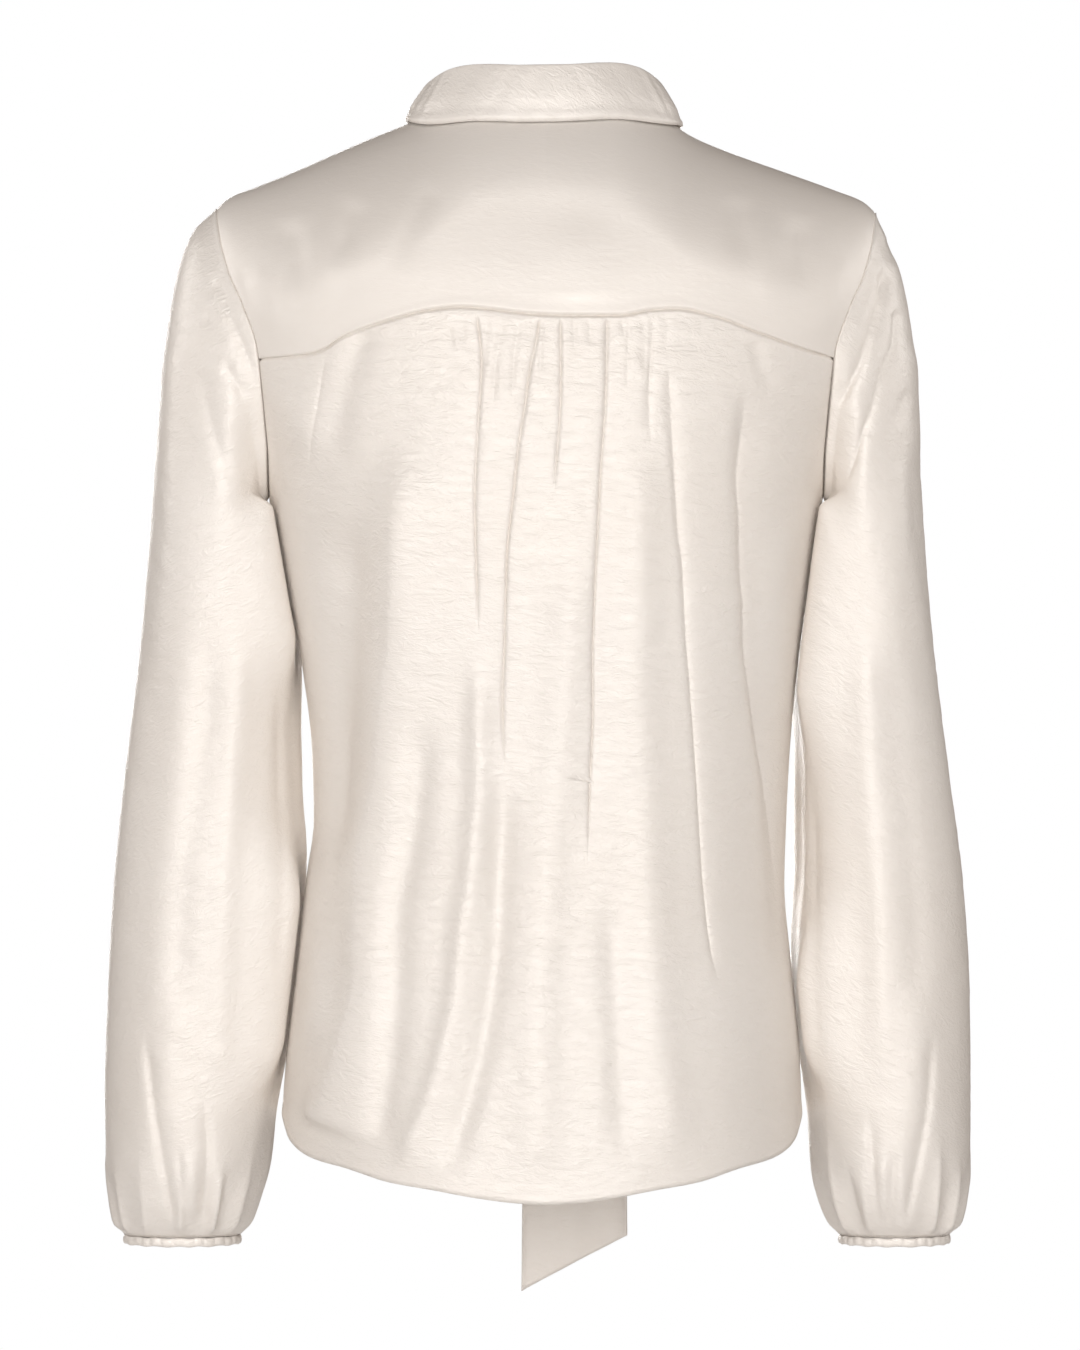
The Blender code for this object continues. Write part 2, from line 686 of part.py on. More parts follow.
def loop_angles(side, loop):
    middle, toward_outer, half, middle_y, half_y = sleeve_frame(side, 0.0)
    flat = np.stack([side * loop[:, 0], loop[:, 2]], axis=-1) - middle
    angle = np.arctan2((loop[:, 1] - middle_y) / half_y, flat @ toward_outer / half)
    angle[0] = -math.pi
    angle[-1] = math.pi
    return angle


def cap_angles():
    low, high = (math.radians(d) for d in CAP_GATHER_SPAN)
    under = np.linspace(-math.pi, low, 9)[:-1]
    cap = np.linspace(low, high, CAP_GATHERS * 4 + 1)
    back = np.linspace(high, math.pi, 9)[1:]
    return np.concatenate([under, cap, back])


def sleeve_lift(side, share, angle):
    """How far gathers and folds lift the sleeve's cloth."""
    degrees = np.degrees(angle)
    low, high = CAP_GATHER_SPAN
    across = (degrees - low) / (high - low)
    cap = -np.cos(2 * math.pi * CAP_GATHERS * across) * ease(0, 0.1, across) * ease(1, 0.9, across)
    cap = cap * ease(0, 0.02, share) * ease(CAP_GATHER_LENGTH, 0.03, share)
    wrist = np.cos(WRIST_GATHERS * angle) * (0.8 + 0.2 * np.sin(3 * angle + 1))
    wrist = wrist * ease(0.87, 0.96, share) * ease(1.0, 0.975, share)
    wrist = wrist * (1 - 0.7 * ease(-0.6, -1.0, np.cos(angle)))
    total = CAP_GATHER_RISE[side] * cap + WRIST_GATHER_RISE * wrist
    for row in SLEEVE_FOLDS[side]:
        fold = dict(zip(SLEEVE_FOLD_COLUMNS, row))
        middle = mix(fold["degrees_top"], fold["degrees_low"], share)
        present = ease(fold["starts"], fold["starts"] + 0.12, share)
        present = present * ease(fold["ends"], fold["ends"] - 0.12, share)
        away = (degrees - middle) / fold["half_degrees"]
        total = total + fold["rise"] * present * np.exp(-away * away)
    return total


SLEEVE_CAP_SHARES = (0.015, 0.035, 0.065, 0.105)
SLEEVE_MIDDLE_SHARES = (0.15, 0.22, 0.30, 0.38, 0.46, 0.54, 0.63, 0.72, 0.80)
SLEEVE_WRIST_SHARES = (0.87, 0.91, 0.94, 0.96, 0.975, 0.988, 1.0)


def sleeve(side):
    loop = armhole_loop(side)
    angles = loop_angles(side, loop)
    away = loop - sleeve_tube(side, 0.0, angles)
    start = loop + np.array([side * ARMHOLE_GAP, 0, 0])
    start[:, 2] -= 0.6 * ARMHOLE_GAP * np.maximum(np.cos(angles), 0)
    rows = [(angles, start)]
    middle_angles = np.linspace(-math.pi, math.pi, 27)
    wrist_angles = np.linspace(-math.pi, math.pi, WRIST_GATHERS * 4 + 1)
    sections = [(share, cap_angles()) for share in SLEEVE_CAP_SHARES]
    sections += [(share, middle_angles) for share in SLEEVE_MIDDLE_SHARES]
    sections += [(share, wrist_angles) for share in SLEEVE_WRIST_SHARES]
    for share, ring in sections:
        tube = sleeve_tube(side, share, ring, sleeve_lift(side, share, ring))
        offset = np.stack([np.interp(ring, angles, away[:, i]) for i in range(3)], axis=-1)
        fade = 1 - ease(0, CAP_BLEND, share)
        rows.append((ring, tube + offset * fade))
    name = "sleeve_left" if side > 0 else "sleeve_right"
    return cloth_piece(name, skin(rows), CLOTH, turn_over=side < 0)


def cuff(side):
    angle = np.linspace(-math.pi, math.pi, CUFF_RIBS * 2 + 1)
    rib = CUFF_RIB_RISE * (np.arange(len(angle)) % 2)
    rows = []
    for down in (0.0, 0.5, 1.0):
        ring = sleeve_tube(side, 1.0, angle, rib - 0.0004 * abs(2 * down - 1))
        ring[:, 2] -= SEAM_GAP + CUFF_HEIGHT * down
        rows.append((angle, ring))
    name = "cuff_left" if side > 0 else "cuff_right"
    return cloth_piece(name, skin(rows), CUFF_WALL, turn_over=side < 0)


# Collar band
def unit(vectors):
    return vectors / np.linalg.norm(vectors, axis=-1, keepdims=True)


def neck_band():
    end = 0.5 + 0.5 * COLLAR_FRONT_REACH / NECK_V_REACH
    along = np.linspace(-1, 1, BAND_STATIONS) * end
    x, reach = neckline(along)
    edge = torso(x, reach)
    normal = torso_normal(x, reach)
    path = unit(np.gradient(edge, axis=0))
    share = np.abs(along) / end
    upright = ease(0.55, 0.85, share)[:, None]
    up = mix(np.array([0.0, 0.0, 1.0]), normal, upright)
    up = unit(up - path * np.sum(up * path, axis=-1, keepdims=True))
    out = unit(np.cross(path, up))
    flat_path = np.stack([np.gradient(x), np.gradient(reach)], axis=-1)
    flat_out = unit(np.stack([flat_path[:, 1], -flat_path[:, 0]], axis=-1))
    if np.sum(flat_out[len(x) // 2] * np.array([0, 1])) < 0:
        flat_out = -flat_out
    if out[len(x) // 2, 1] < 0:
        out = -out
    fall = COLLAR.at("fall", share)
    fall_x = x + flat_out[:, 0] * fall
    fall_reach = reach + flat_out[:, 1] * fall
    over = torso_normal(fall_x, fall_reach) * COLLAR_OVER_YOKE
    fall_edge = torso(fall_x, fall_reach) + over

    def section(outward, upward):
        return edge + out * np.asarray(outward)[:, None] + up * np.asarray(upward)[:, None]

    fold_out = COLLAR.at("out", share)
    fold_up = COLLAR.at("up", share)
    radius = COLLAR_FOLD_RADIUS
    zero = np.zeros(len(x))
    stand = section(zero - CLOTH - SEAM_GAP, zero)
    fold = []
    for degrees in (180, 125, 70, 15):
        turn = math.radians(degrees)
        around = radius * math.cos(turn)
        fold.append(section(fold_out + around, fold_up - radius + radius * math.sin(turn)))
    stand_middle = mix(stand, fold[0], 0.5)
    fall_middle = mix(fold[-1], fall_edge, 0.5) + out * 0.0012
    lines = [stand, stand_middle, *fold, fall_middle, fall_edge]
    rows = [(along, line) for line in lines]
    return cloth_piece("neck_band", skin(rows), CLOTH, turn_over=True)


# Knot and tie ends
def tie_knot():
    bm = bmesh.new()
    bmesh.ops.create_uvsphere(bm, u_segments=16, v_segments=10, radius=1.0)
    for vert in bm.verts:
        x, y, z = vert.co
        squarer = (abs(x) ** 3 + abs(y) ** 3 + abs(z) ** 3) ** (-1 / 3)
        pleat = 1 + 0.05 * math.cos(9 * x + 2 * z)
        vert.co = [
            KNOT_MIDDLE[i] + KNOT_SIZE[i] * c * squarer * pleat for i, c in enumerate((x, y, z))
        ]
    mesh = bpy.data.meshes.new("tie_knot")
    bm.to_mesh(mesh)
    bm.free()
    mesh.shade_smooth()
    piece = bpy.data.objects.new("tie_knot", mesh)
    piece.data.materials.append(satin("tie_knot"))
    blouse.objects.link(piece)
    return piece


def tie_end(name, table, tip, slant_toward):
    """A strip that hangs in front of the blouse and ends in a slant."""
    rows = []
    across = np.linspace(-1, 1, 9)
    corner = tip + TIE_SLANT
    for share in np.linspace(0, 1, 19):
        x = table.at("across", share) + table.at("half_width", share) * across
        foot = mix(tip, corner, (1 - slant_toward * across) / 2)
        z = mix(TIE_TOP, foot, share)
        front, normal = at_height(x, z, -1)
        ripple = table.at("ripple", share) * (1 + np.cos(2.5 * math.pi * across))
        lift = TIE_OVER_FRONT + ripple + np.maximum(hanging_folds(FRONT_FOLDS, x, z), 0)
        rows.append((across, front + normal * lift[:, None]))
    return cloth_piece(name, skin(rows), TIE_CLOTH)


for old in list(bpy.data.objects):
    bpy.data.objects.remove(old)

blouse = bpy.data.collections.new("blouse")
bpy.context.scene.collection.children.link(blouse)

back_yoke()
back_panel()
front_panel()
for arm in (1, -1):
    sleeve(arm)
    cuff(arm)
neck_band()
tie_knot()
tie_end("tie_end_right", LONG_TIE, LONG_TIE_TIP, 1)
tie_end("tie_end_left", SHORT_TIE, SHORT_TIE_TIP, -1)
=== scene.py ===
import math

import bmesh
import bpy
import numpy as np
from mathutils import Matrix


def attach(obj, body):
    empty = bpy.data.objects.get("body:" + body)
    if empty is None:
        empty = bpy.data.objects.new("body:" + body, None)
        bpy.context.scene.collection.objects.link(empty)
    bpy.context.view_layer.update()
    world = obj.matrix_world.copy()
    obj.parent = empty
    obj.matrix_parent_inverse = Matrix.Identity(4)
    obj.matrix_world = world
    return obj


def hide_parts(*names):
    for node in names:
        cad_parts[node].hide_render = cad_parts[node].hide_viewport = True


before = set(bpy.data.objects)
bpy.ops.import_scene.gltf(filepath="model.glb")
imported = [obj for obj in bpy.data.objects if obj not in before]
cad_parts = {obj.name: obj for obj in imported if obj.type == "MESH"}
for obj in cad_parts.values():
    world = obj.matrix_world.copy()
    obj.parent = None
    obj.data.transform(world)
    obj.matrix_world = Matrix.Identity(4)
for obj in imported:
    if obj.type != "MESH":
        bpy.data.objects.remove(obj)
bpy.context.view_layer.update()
scene = bpy.context.scene
scene.view_settings.view_transform = "Standard"

# Looking straight at the back, level with the middle of the blouse
photoCamera = {"place": (0.0037, 4.0, -0.341), "tall": 0.837, "sensor": 36.0}
studio = {
    "floorHeight": -1.30,
    "floorHalf": 3.0,
    "floorColour": (0.86, 0.85, 0.84), "floorRough": 0.8,
    "above": (0.110, 0.085, 0.067),  # how bright the room is overhead, at the sides and below
    "sides": (0.162, 0.129, 0.104),
    "below": (0.105, 0.084, 0.068),
}
softBoxes = {  # where each one stands and looks
    "softBox": {"place": (0.10, 4.6, 0.45), "aim": (0, 0, -0.33), "size": (4.4, 3.0), "watts": 165},
    "fillFront": {"place": (0.6, -4.2, 0.1), "aim": (0, 0, -0.33), "size": (2.0, 2.0), "watts": 150},
    "sideLeft": {"place": (2.2, 1.6, 0.05), "aim": (0.2, 0, -0.14), "size": (0.9, 0.9), "watts": 7},
    "sideRight": {"place": (-2.2, 1.6, 0.05), "aim": (-0.2, 0, -0.14), "size": (0.9, 0.9), "watts": 6},
    "rimLeft": {"place": (1.1, -0.22, 0.15), "aim": (0.2, 0, -0.2), "size": (0.5, 0.5), "watts": 2.6},
    "rimRight": {"place": (-1.1, -0.22, 0.15), "aim": (-0.2, 0, -0.2), "size": (0.5, 0.5), "watts": 2.4},
}

# The body, in metres. These curves are the ones the solids were made with
shoulderLine = [  # across, height on the left, height on the right
    (0.000, 0.0360, 0.0360), (0.040, 0.0290, 0.0290), (0.060, 0.0170, 0.0160),
    (0.075, 0.0060, 0.0040), (0.087, 0.0000, -0.0055), (0.110, -0.0093, -0.0160),
    (0.130, -0.0180, -0.0233), (0.160, -0.0310, -0.0338), (0.180, -0.0389, -0.0411),
    (0.196, -0.0453, -0.0475), (0.204, -0.0520, -0.0545), (0.215, -0.0670, -0.0690),
    (0.230, -0.1000, -0.1000),
]
bodyShape = [  # height, half width left and right, depth of the back and of the front
    (0.040, 0.2350, 0.2350, 0.070, 0.060), (0.000, 0.2320, 0.2320, 0.075, 0.072),
    (-0.050, 0.2260, 0.2260, 0.088, 0.090), (-0.100, 0.2130, 0.2130, 0.102, 0.107),
    (-0.145, 0.1990, 0.1990, 0.110, 0.120), (-0.190, 0.1835, 0.1835, 0.113, 0.128),
    (-0.235, 0.1712, 0.1712, 0.113, 0.129), (-0.290, 0.1600, 0.1620, 0.111, 0.124),
    (-0.340, 0.1505, 0.1555, 0.108, 0.118), (-0.390, 0.1450, 0.1510, 0.106, 0.115),
    (-0.430, 0.1440, 0.1490, 0.106, 0.114), (-0.470, 0.1490, 0.1478, 0.108, 0.115),
    (-0.520, 0.1545, 0.1520, 0.112, 0.118), (-0.580, 0.1612, 0.1575, 0.116, 0.121),
    (-0.670, 0.1670, 0.1600, 0.119, 0.123),
]
armholeShape = [  # length down from the shoulder, half width on the back and on the front
    (0.000, 0.2040, 0.2040), (0.030, 0.2035, 0.2020), (0.060, 0.2015, 0.1960),
    (0.095, 0.1955, 0.1845), (0.122, 0.1860, 0.1760), (0.152, 0.1770, 0.1705),
    (0.175, 0.1745, 0.1690), (0.199, 0.1725, 0.1690), (0.220, 0.1712, 0.1700),
    (0.2448, 0.1712, 0.1712),
]
yokeSeam = [  # across, height
    (-0.180, -0.1480), (-0.160, -0.1430), (-0.128, -0.1325), (-0.103, -0.1235),
    (-0.080, -0.1190), (-0.063, -0.1200), (-0.045, -0.1232), (-0.018, -0.1233),
    (0.007, -0.1225), (0.033, -0.1195), (0.052, -0.1180), (0.072, -0.1200),
    (0.089, -0.1240), (0.110, -0.1305), (0.125, -0.1365), (0.135, -0.1430),
    (0.147, -0.1462), (0.180, -0.1480),
]
hemShape = [  # share of the way to the side seam, height at the back and at the front
    (0.00, -0.6600, -0.6380), (0.12, -0.6588, -0.6379), (0.25, -0.6562, -0.6374),
    (0.42, -0.6515, -0.6362), (0.58, -0.6475, -0.6340), (0.74, -0.6403, -0.6310),
    (0.88, -0.6352, -0.6265), (0.96, -0.6270, -0.6200), (1.00, -0.6120, -0.6120),
]
sleeveShape = [  # share, outer line's height, left, right, inner line's, then middle and half depth
    (0.00, -0.0535, 0.2040, 0.2040, -0.2350, 0.1712, 0.1712, -0.006, 0.0600),
    (0.03, -0.0680, 0.2190, 0.2112, -0.2405, 0.1762, 0.1762, -0.007, 0.0600),
    (0.08, -0.1000, 0.2302, 0.2222, -0.2530, 0.1765, 0.1765, -0.008, 0.0595),
    (0.14, -0.1400, 0.2365, 0.2285, -0.2700, 0.1725, 0.1725, -0.010, 0.0590),
    (0.22, -0.1900, 0.2410, 0.2312, -0.2950, 0.1645, 0.1668, -0.012, 0.0580),
    (0.32, -0.2550, 0.2462, 0.2355, -0.3300, 0.1570, 0.1615, -0.014, 0.0565),
    (0.42, -0.3250, 0.2525, 0.2414, -0.3700, 0.1525, 0.1572, -0.016, 0.0555),
    (0.52, -0.4000, 0.2618, 0.2507, -0.4200, 0.1515, 0.1540, -0.018, 0.0550),
    (0.62, -0.4700, 0.2690, 0.2597, -0.4780, 0.1545, 0.1545, -0.019, 0.0555),
    (0.72, -0.5350, 0.2727, 0.2638, -0.5380, 0.1605, 0.1585, -0.020, 0.0555),
    (0.82, -0.6000, 0.2747, 0.2645, -0.6000, 0.1668, 0.1622, -0.020, 0.0550),
    (0.90, -0.6450, 0.2738, 0.2640, -0.6450, 0.1712, 0.1645, -0.020, 0.0525),
    (0.95, -0.6680, 0.2703, 0.2605, -0.6680, 0.1775, 0.1702, -0.021, 0.0480),
    (0.98, -0.6820, 0.2675, 0.2570, -0.6820, 0.1830, 0.1765, -0.022, 0.0400),
    (1.00, -0.6890, 0.2632, 0.2520, -0.6890, 0.1898, 0.1822, -0.022, 0.0310),
]
shoulderRound = 0.085  # how far below the shoulder line the cloth still rounds over
shoulderSeam = 0.042  # the yoke reaches this far over to the front
neck = {"halfWidth": 0.074, "shift": 0.0015, "backReach": 0.0763, "vReach": 0.2195, "bow": 0.9}
hemAtSide = -0.6120
sideSeamGap = 0.00012  # the back and the front end this far from the side seam's plane


def smoothThrough(xs, ys, where):
    xs, ys = np.array(xs), np.array(ys)
    where = np.clip(np.asarray(where, float), xs[0], xs[-1])
    steps, slopes = np.diff(xs), np.diff(ys) / np.diff(xs)
    tangents = np.zeros(len(xs))
    for i in range(1, len(xs) - 1):
        if slopes[i - 1] * slopes[i] > 0:
            near, far = 2 * steps[i] + steps[i - 1], steps[i] + 2 * steps[i - 1]
            tangents[i] = (near + far) / (near / slopes[i - 1] + far / slopes[i])
    tangents[0], tangents[-1] = slopes[0], slopes[-1]
    i = np.clip(np.searchsorted(xs, where, side="right") - 1, 0, len(xs) - 2)
    t = (where - xs[i]) / steps[i]
    start = (1 + 2 * t) * (1 - t) ** 2 * ys[i] + t * (1 - t) ** 2 * steps[i] * tangents[i]
    return start + t * t * (3 - 2 * t) * ys[i + 1] + t * t * (t - 1) * steps[i] * tangents[i + 1]


def curveOf(rows, column):
    rows = sorted(rows)
    xs, ys = [r[0] for r in rows], [r[column] for r in rows]
    return lambda where: smoothThrough(xs, ys, where)


def ease(low, high, value):
    t = np.clip((np.asarray(value, float) - low) / (high - low), 0, 1)
    return t * t * (3 - 2 * t)


def mix(a, b, share):
    return a + (b - a) * share


def unit(vectors):
    return vectors / np.maximum(np.linalg.norm(vectors, axis=-1, keepdims=True), 1e-12)


shoulderLeft, shoulderRight = curveOf(shoulderLine, 1), curveOf(shoulderLine, 2)
bodyLeft, bodyRight = curveOf(bodyShape, 1), curveOf(bodyShape, 2)
bodyBack, bodyFront = curveOf(bodyShape, 3), curveOf(bodyShape, 4)
armholeBack, armholeFront = curveOf(armholeShape, 1), curveOf(armholeShape, 2)
seamHeight = curveOf(yokeSeam, 1)
hemBack, hemFront = curveOf(hemShape, 1), curveOf(hemShape, 2)
sleeveCurves = [curveOf(sleeveShape, i) for i in range(9)]


def shoulderHeight(x):
    return np.where(np.asarray(x) > 0, shoulderLeft(np.abs(x)), shoulderRight(np.abs(x)))


def dropFor(reach):  # height lost and share rounded over, at a length of cloth
    turn = np.abs(reach) / shoulderRound
    over = turn < math.pi / 2
    drop = np.where(over, 1 - np.cos(turn), 1 + turn - math.pi / 2) * shoulderRound
    return drop, np.where(over, np.sin(turn), 1.0)


def reachFor(drop):
    share = np.asarray(drop, float) / shoulderRound
    bent = np.arccos(np.clip(1 - share, -1, 1))
    return np.where(share < 1, bent, math.pi / 2 + share - 1) * shoulderRound


def torso(x, reach):
    x, reach = np.broadcast_arrays(np.asarray(x, float), np.asarray(reach, float))
    drop, rounding = dropFor(reach)
    z = shoulderHeight(x) - drop
    share = np.clip(np.abs(x) / np.where(x > 0, bodyLeft(z), bodyRight(z)), 0, 1)
    back = bodyBack(z) * np.sqrt(1 - share**2.5)
    front = -bodyFront(z) * np.sqrt(1 - share**2.2)
    return np.stack([x, np.where(reach >= 0, back, front) * rounding, z], axis=-1)


def torsoNormal(x, reach, step=0.0006):
    across = torso(x + step, reach) - torso(x - step, reach)
    down = torso(x, reach + step) - torso(x, reach - step)
    return unit(np.cross(across, down))


def atHeight(x, z, face):
    reach = face * reachFor(shoulderHeight(x) - z)
    return torso(x, reach), torsoNormal(x * 0.998, reach)


underarm = float(shoulderHeight(0.1712) - dropFor(0.2448)[0])
armReaches = np.linspace(0, 0.2488, 160)


def panelEdge(z, side, face):  # the armhole, then the side seam
    widths = (armholeBack if face > 0 else armholeFront)(armReaches)
    heights = shoulderHeight(side * widths) - dropFor(armReaches)[0]
    body = (bodyLeft if side > 0 else bodyRight)(z)
    return np.where(z > underarm, np.interp(-z, -heights, widths), body)


def neckline(along):  # 0 the middle of the back, 0.5 a neck point, 1 the point of the V
    share = np.abs(along)
    turn = np.minimum(share, 0.5) * math.pi
    down = np.clip(share - 0.5, 0, 0.5) * 2
    width = np.where(share <= 0.5, np.sin(turn), (1 - down) ** neck["bow"])
    reach = np.where(share <= 0.5, neck["backReach"] * np.cos(turn), -neck["vReach"] * down)
    return np.sign(along) * neck["halfWidth"] * width + neck["shift"] * (1 - down), reach


seamNeck = 0.5 + 0.5 * shoulderSeam / neck["vReach"]


def seamEnd(side):
    height = -0.148
    for _ in range(5):
        across = float(panelEdge(np.array(height), side, 1))
        height = float(seamHeight(side * across))
    return side * across, height


seamRight, seamLeft = seamEnd(-1), seamEnd(1)


def seamReach(x):
    return reachFor(shoulderHeight(x) - seamHeight(x))


def yokeArmhole(side, count):
    end = float(seamReach((seamLeft if side > 0 else seamRight)[0]))
    reach = np.linspace(-shoulderSeam, end, count)
    width = np.where(reach > 0, armholeBack(reach), armholeFront(-reach))
    width[-1] = abs((seamLeft if side > 0 else seamRight)[0])
    return side * width, reach


# Folds are drawn as lines in millimetres to the right of and below the neck, as the camera
# sees the back: rise, softness on the line's left and right, how sharp (1 sharp, 2 soft),
# and the lengths over which it fades in and out
def seenFromCamera(points):
    nearer = photoCamera["place"][1] / (photoCamera["place"][1] - points[..., 1])
    right = -((points[..., 0] - photoCamera["place"][0]) * nearer + photoCamera["place"][0])
    down = -((points[..., 2] - photoCamera["place"][2]) * nearer + photoCamera["place"][2])
    return right * 1000, down * 1000


def smoothLine(points, pieces=8):
    points = np.array(points, float)
    if len(points) < 3:
        t = np.linspace(0, 1, pieces + 1)[:, None]
        return mix(points[0], points[-1], t)
    padded = np.vstack([2 * points[0] - points[1], points, 2 * points[-1] - points[-2]])
    line = []
    for i in range(1, len(padded) - 2):
        a, b, c, d = padded[i - 1 : i + 3]
        for t in np.arange(pieces) / pieces:
            bend, twist = 2 * a - 5 * b + 4 * c - d, 3 * b - a - 3 * c + d
            line.append(0.5 * (2 * b + (c - a) * t + bend * t * t + twist * t**3))
    return np.array(line + [points[-1]])


def foldLift(right, down, folds):
    total = np.zeros(np.shape(right))
    for rise, softLeft, softRight, sharp, fadeIn, fadeOut, points in folds:
        line = smoothLine(points)
        reachOut = 3.2 * max(softLeft, softRight)
        near = (right > line[:, 0].min() - reachOut) & (right < line[:, 0].max() + reachOut)
        near &= (down > line[:, 1].min() - reachOut) & (down < line[:, 1].max() + reachOut)
        if not near.any():
            continue
        px, py = right[near], down[near]
        best = np.full(len(px), 1e9)
        offset, along = np.zeros(len(px)), np.zeros(len(px))
        travelled = 0.0
        for (ax, ay), (bx, by) in zip(line[:-1], line[1:]):
            length = math.hypot(bx - ax, by - ay)
            if length < 1e-6:
                continue
            t = np.clip(((px - ax) * (bx - ax) + (py - ay) * (by - ay)) / length**2, 0, 1)
            dx, dy = px - ax - t * (bx - ax), py - ay - t * (by - ay)
            distance = np.hypot(dx, dy)
            closer = distance < best
            best = np.where(closer, distance, best)
            side = (by - ay) * dx - (bx - ax) * dy  # positive to the right of a line drawn down
            offset = np.where(closer, np.sign(side) * distance, offset)
            along = np.where(closer, travelled + t * length, along)
            travelled += length
        soft = np.where(offset < 0, softLeft, softRight)
        shape = np.exp(-((np.abs(offset) / soft) ** sharp))
        ends = ease(0, fadeIn, along) * ease(travelled, travelled - fadeOut, along)
        total[near] += rise / 1000 * shape * ends
    return total


columnCrowding = {
    "tries": 900, "fold": 4.0, "foldReach": 1.8, "edge": 2.2, "edgeReach": 3, "sharpest": 1.45,
}


def crowdedColumns(count, rightEdge, leftEdge, downOfRow, folds):
    # where each row's columns lie, in millimetres to the right as seen: closer at sharp folds
    look = columnCrowding
    lines = [smoothLine(f[6]) for f in folds if f[3] < look["sharpest"]]
    rows = []
    for right, left, down in zip(rightEdge, leftEdge, downOfRow):
        at = np.linspace(left, right, look["tries"])
        dense = np.ones(look["tries"])
        for edge in (left, right):
            dense += look["edge"] * np.exp(-(((at - edge) / look["edgeReach"]) ** 2))
        for line in lines:
            inside = ease(line[0, 1] - 30, line[0, 1], down) * ease(line[-1, 1] + 45, line[-1, 1], down)
            middle = np.interp(down, line[:, 1], line[:, 0])
            dense += look["fold"] * inside * np.exp(-(((at - middle) / look["foldReach"]) ** 2))
        filled = np.concatenate([[0], np.cumsum((dense[1:] + dense[:-1]) / 2)])
        rows.append(np.interp(np.linspace(0, filled[-1], count), filled, at))
    return np.array(rows)


def softNoise(u, v, seed):  # smooth uneven noise from a seeded table, about -1 to 1
    table = np.random.default_rng(seed).uniform(-1, 1, (97, 97))
    iu, iv = np.floor(u).astype(int), np.floor(v).astype(int)
    fu, fv = u - iu, v - iv
    fu, fv = fu * fu * (3 - 2 * fu), fv * fv * (3 - 2 * fv)
    a, b = table[iu % 97, iv % 97], table[(iu + 1) % 97, iv % 97]
    c, d = table[iu % 97, (iv + 1) % 97], table[(iu + 1) % 97, (iv + 1) % 97]
    return mix(mix(a, b, fu), mix(c, d, fu), fv)


def wrinkles(right, down, seed, long=14.0, short=5.0, slant=0.0, rise=0.3):
    # short creases, longer along the slant (degrees) than across it, in patches
    c, s = math.cos(math.radians(slant)), math.sin(math.radians(slant))
    u, v = right * c + down * s, down * c - right * s
    bend = 2.5 * softNoise(u / 30, v / 30, seed + 5)
    fine = softNoise(u / long, (v + bend) / short, seed)
    finer = softNoise(u / (long * 0.45), (v + bend) / (short * 0.5), seed + 1)
    patch = 0.55 + 0.45 * softNoise(u / 45, v / 35, seed + 2)
    return rise / 1000 * (0.7 * fine + 0.3 * finer) * patch


# Cloth meshes
def gridNormals(points, closed=False):
    if closed:
        wrapped = np.concatenate([points[:, -1:], points, points[:, :1]], axis=1)
        across = (wrapped[:, 2:] - wrapped[:, :-2]) / 2
    else:
        across = np.gradient(points, axis=1)
    return unit(np.cross(across, np.gradient(points, axis=0)))


def pieceFrom(name, points, faces, material, node):
    mesh = bpy.data.meshes.new(name)
    mesh.from_pydata(points, [], faces)
    mesh.validate()
    mesh.shade_smooth()
    mesh.materials.append(material)
    piece = bpy.data.objects.new(name, mesh)
    scene.collection.objects.link(piece)
    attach(piece, "root")
    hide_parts(node)
    return piece


def clothFrom(name, points, outward, thick, material, node, closed=False):
    rows, columns = points.shape[:2]
    index = np.arange(rows * columns).reshape(rows, columns)
    right = np.roll(index, -1, axis=1) if closed else index[:, 1:]
    left = index if closed else index[:, :-1]
    faces = np.stack([left[:-1], left[1:], right[1:], right[:-1]], axis=-1).reshape(-1, 4)
    flat = points.reshape(-1, 3)
    out = np.broadcast_to(outward, points.shape).reshape(-1, 3)
    probe = faces[:: max(1, len(faces) // 400)]  # a few faces show which way they all look
    facing = np.cross(flat[probe[:, 1]] - flat[probe[:, 0]], flat[probe[:, 2]] - flat[probe[:, 0]])
    if np.sum(facing * out[probe[:, 0]]) < 0:
        faces = faces[:, ::-1]
    piece = pieceFrom(name, flat.tolist(), faces.tolist(), material, node)
    wall = piece.modifiers.new("cloth", "SOLIDIFY")
    wall.thickness, wall.offset = thick, -1
    return piece


def clothArea(points, closed=False):
    if closed:
        points = np.concatenate([points, points[:, :1]], axis=1)
    a = np.cross(points[1:, :-1] - points[:-1, :-1], points[:-1, 1:] - points[:-1, :-1])
    b = np.cross(points[1:, 1:] - points[1:, :-1], points[1:, 1:] - points[:-1, 1:])
    return float(np.linalg.norm(a, axis=-1).sum() + np.linalg.norm(b, axis=-1).sum()) / 2


# Materials
def group(name, inputs, outputs):
    tree = bpy.data.node_groups.new(name, "ShaderNodeTree")
    for label, kind, value in inputs:
        socket = tree.interface.new_socket(label, in_out="INPUT", socket_type=kind)
        if value is not None:
            socket.default_value = value
    for label, kind in outputs:
        tree.interface.new_socket(label, in_out="OUTPUT", socket_type=kind)
    return tree, tree.nodes.new("NodeGroupInput"), tree.nodes.new("NodeGroupOutput")


def mathNode(tree, operation, a, b=None):
    node = tree.nodes.new("ShaderNodeMath")
    node.operation = operation
    for socket, value in zip(node.inputs, (a, b)):
        if isinstance(value, (int, float)):
            socket.default_value = value
        elif value is not None:
            tree.links.new(value, socket)
    return node.outputs[0]


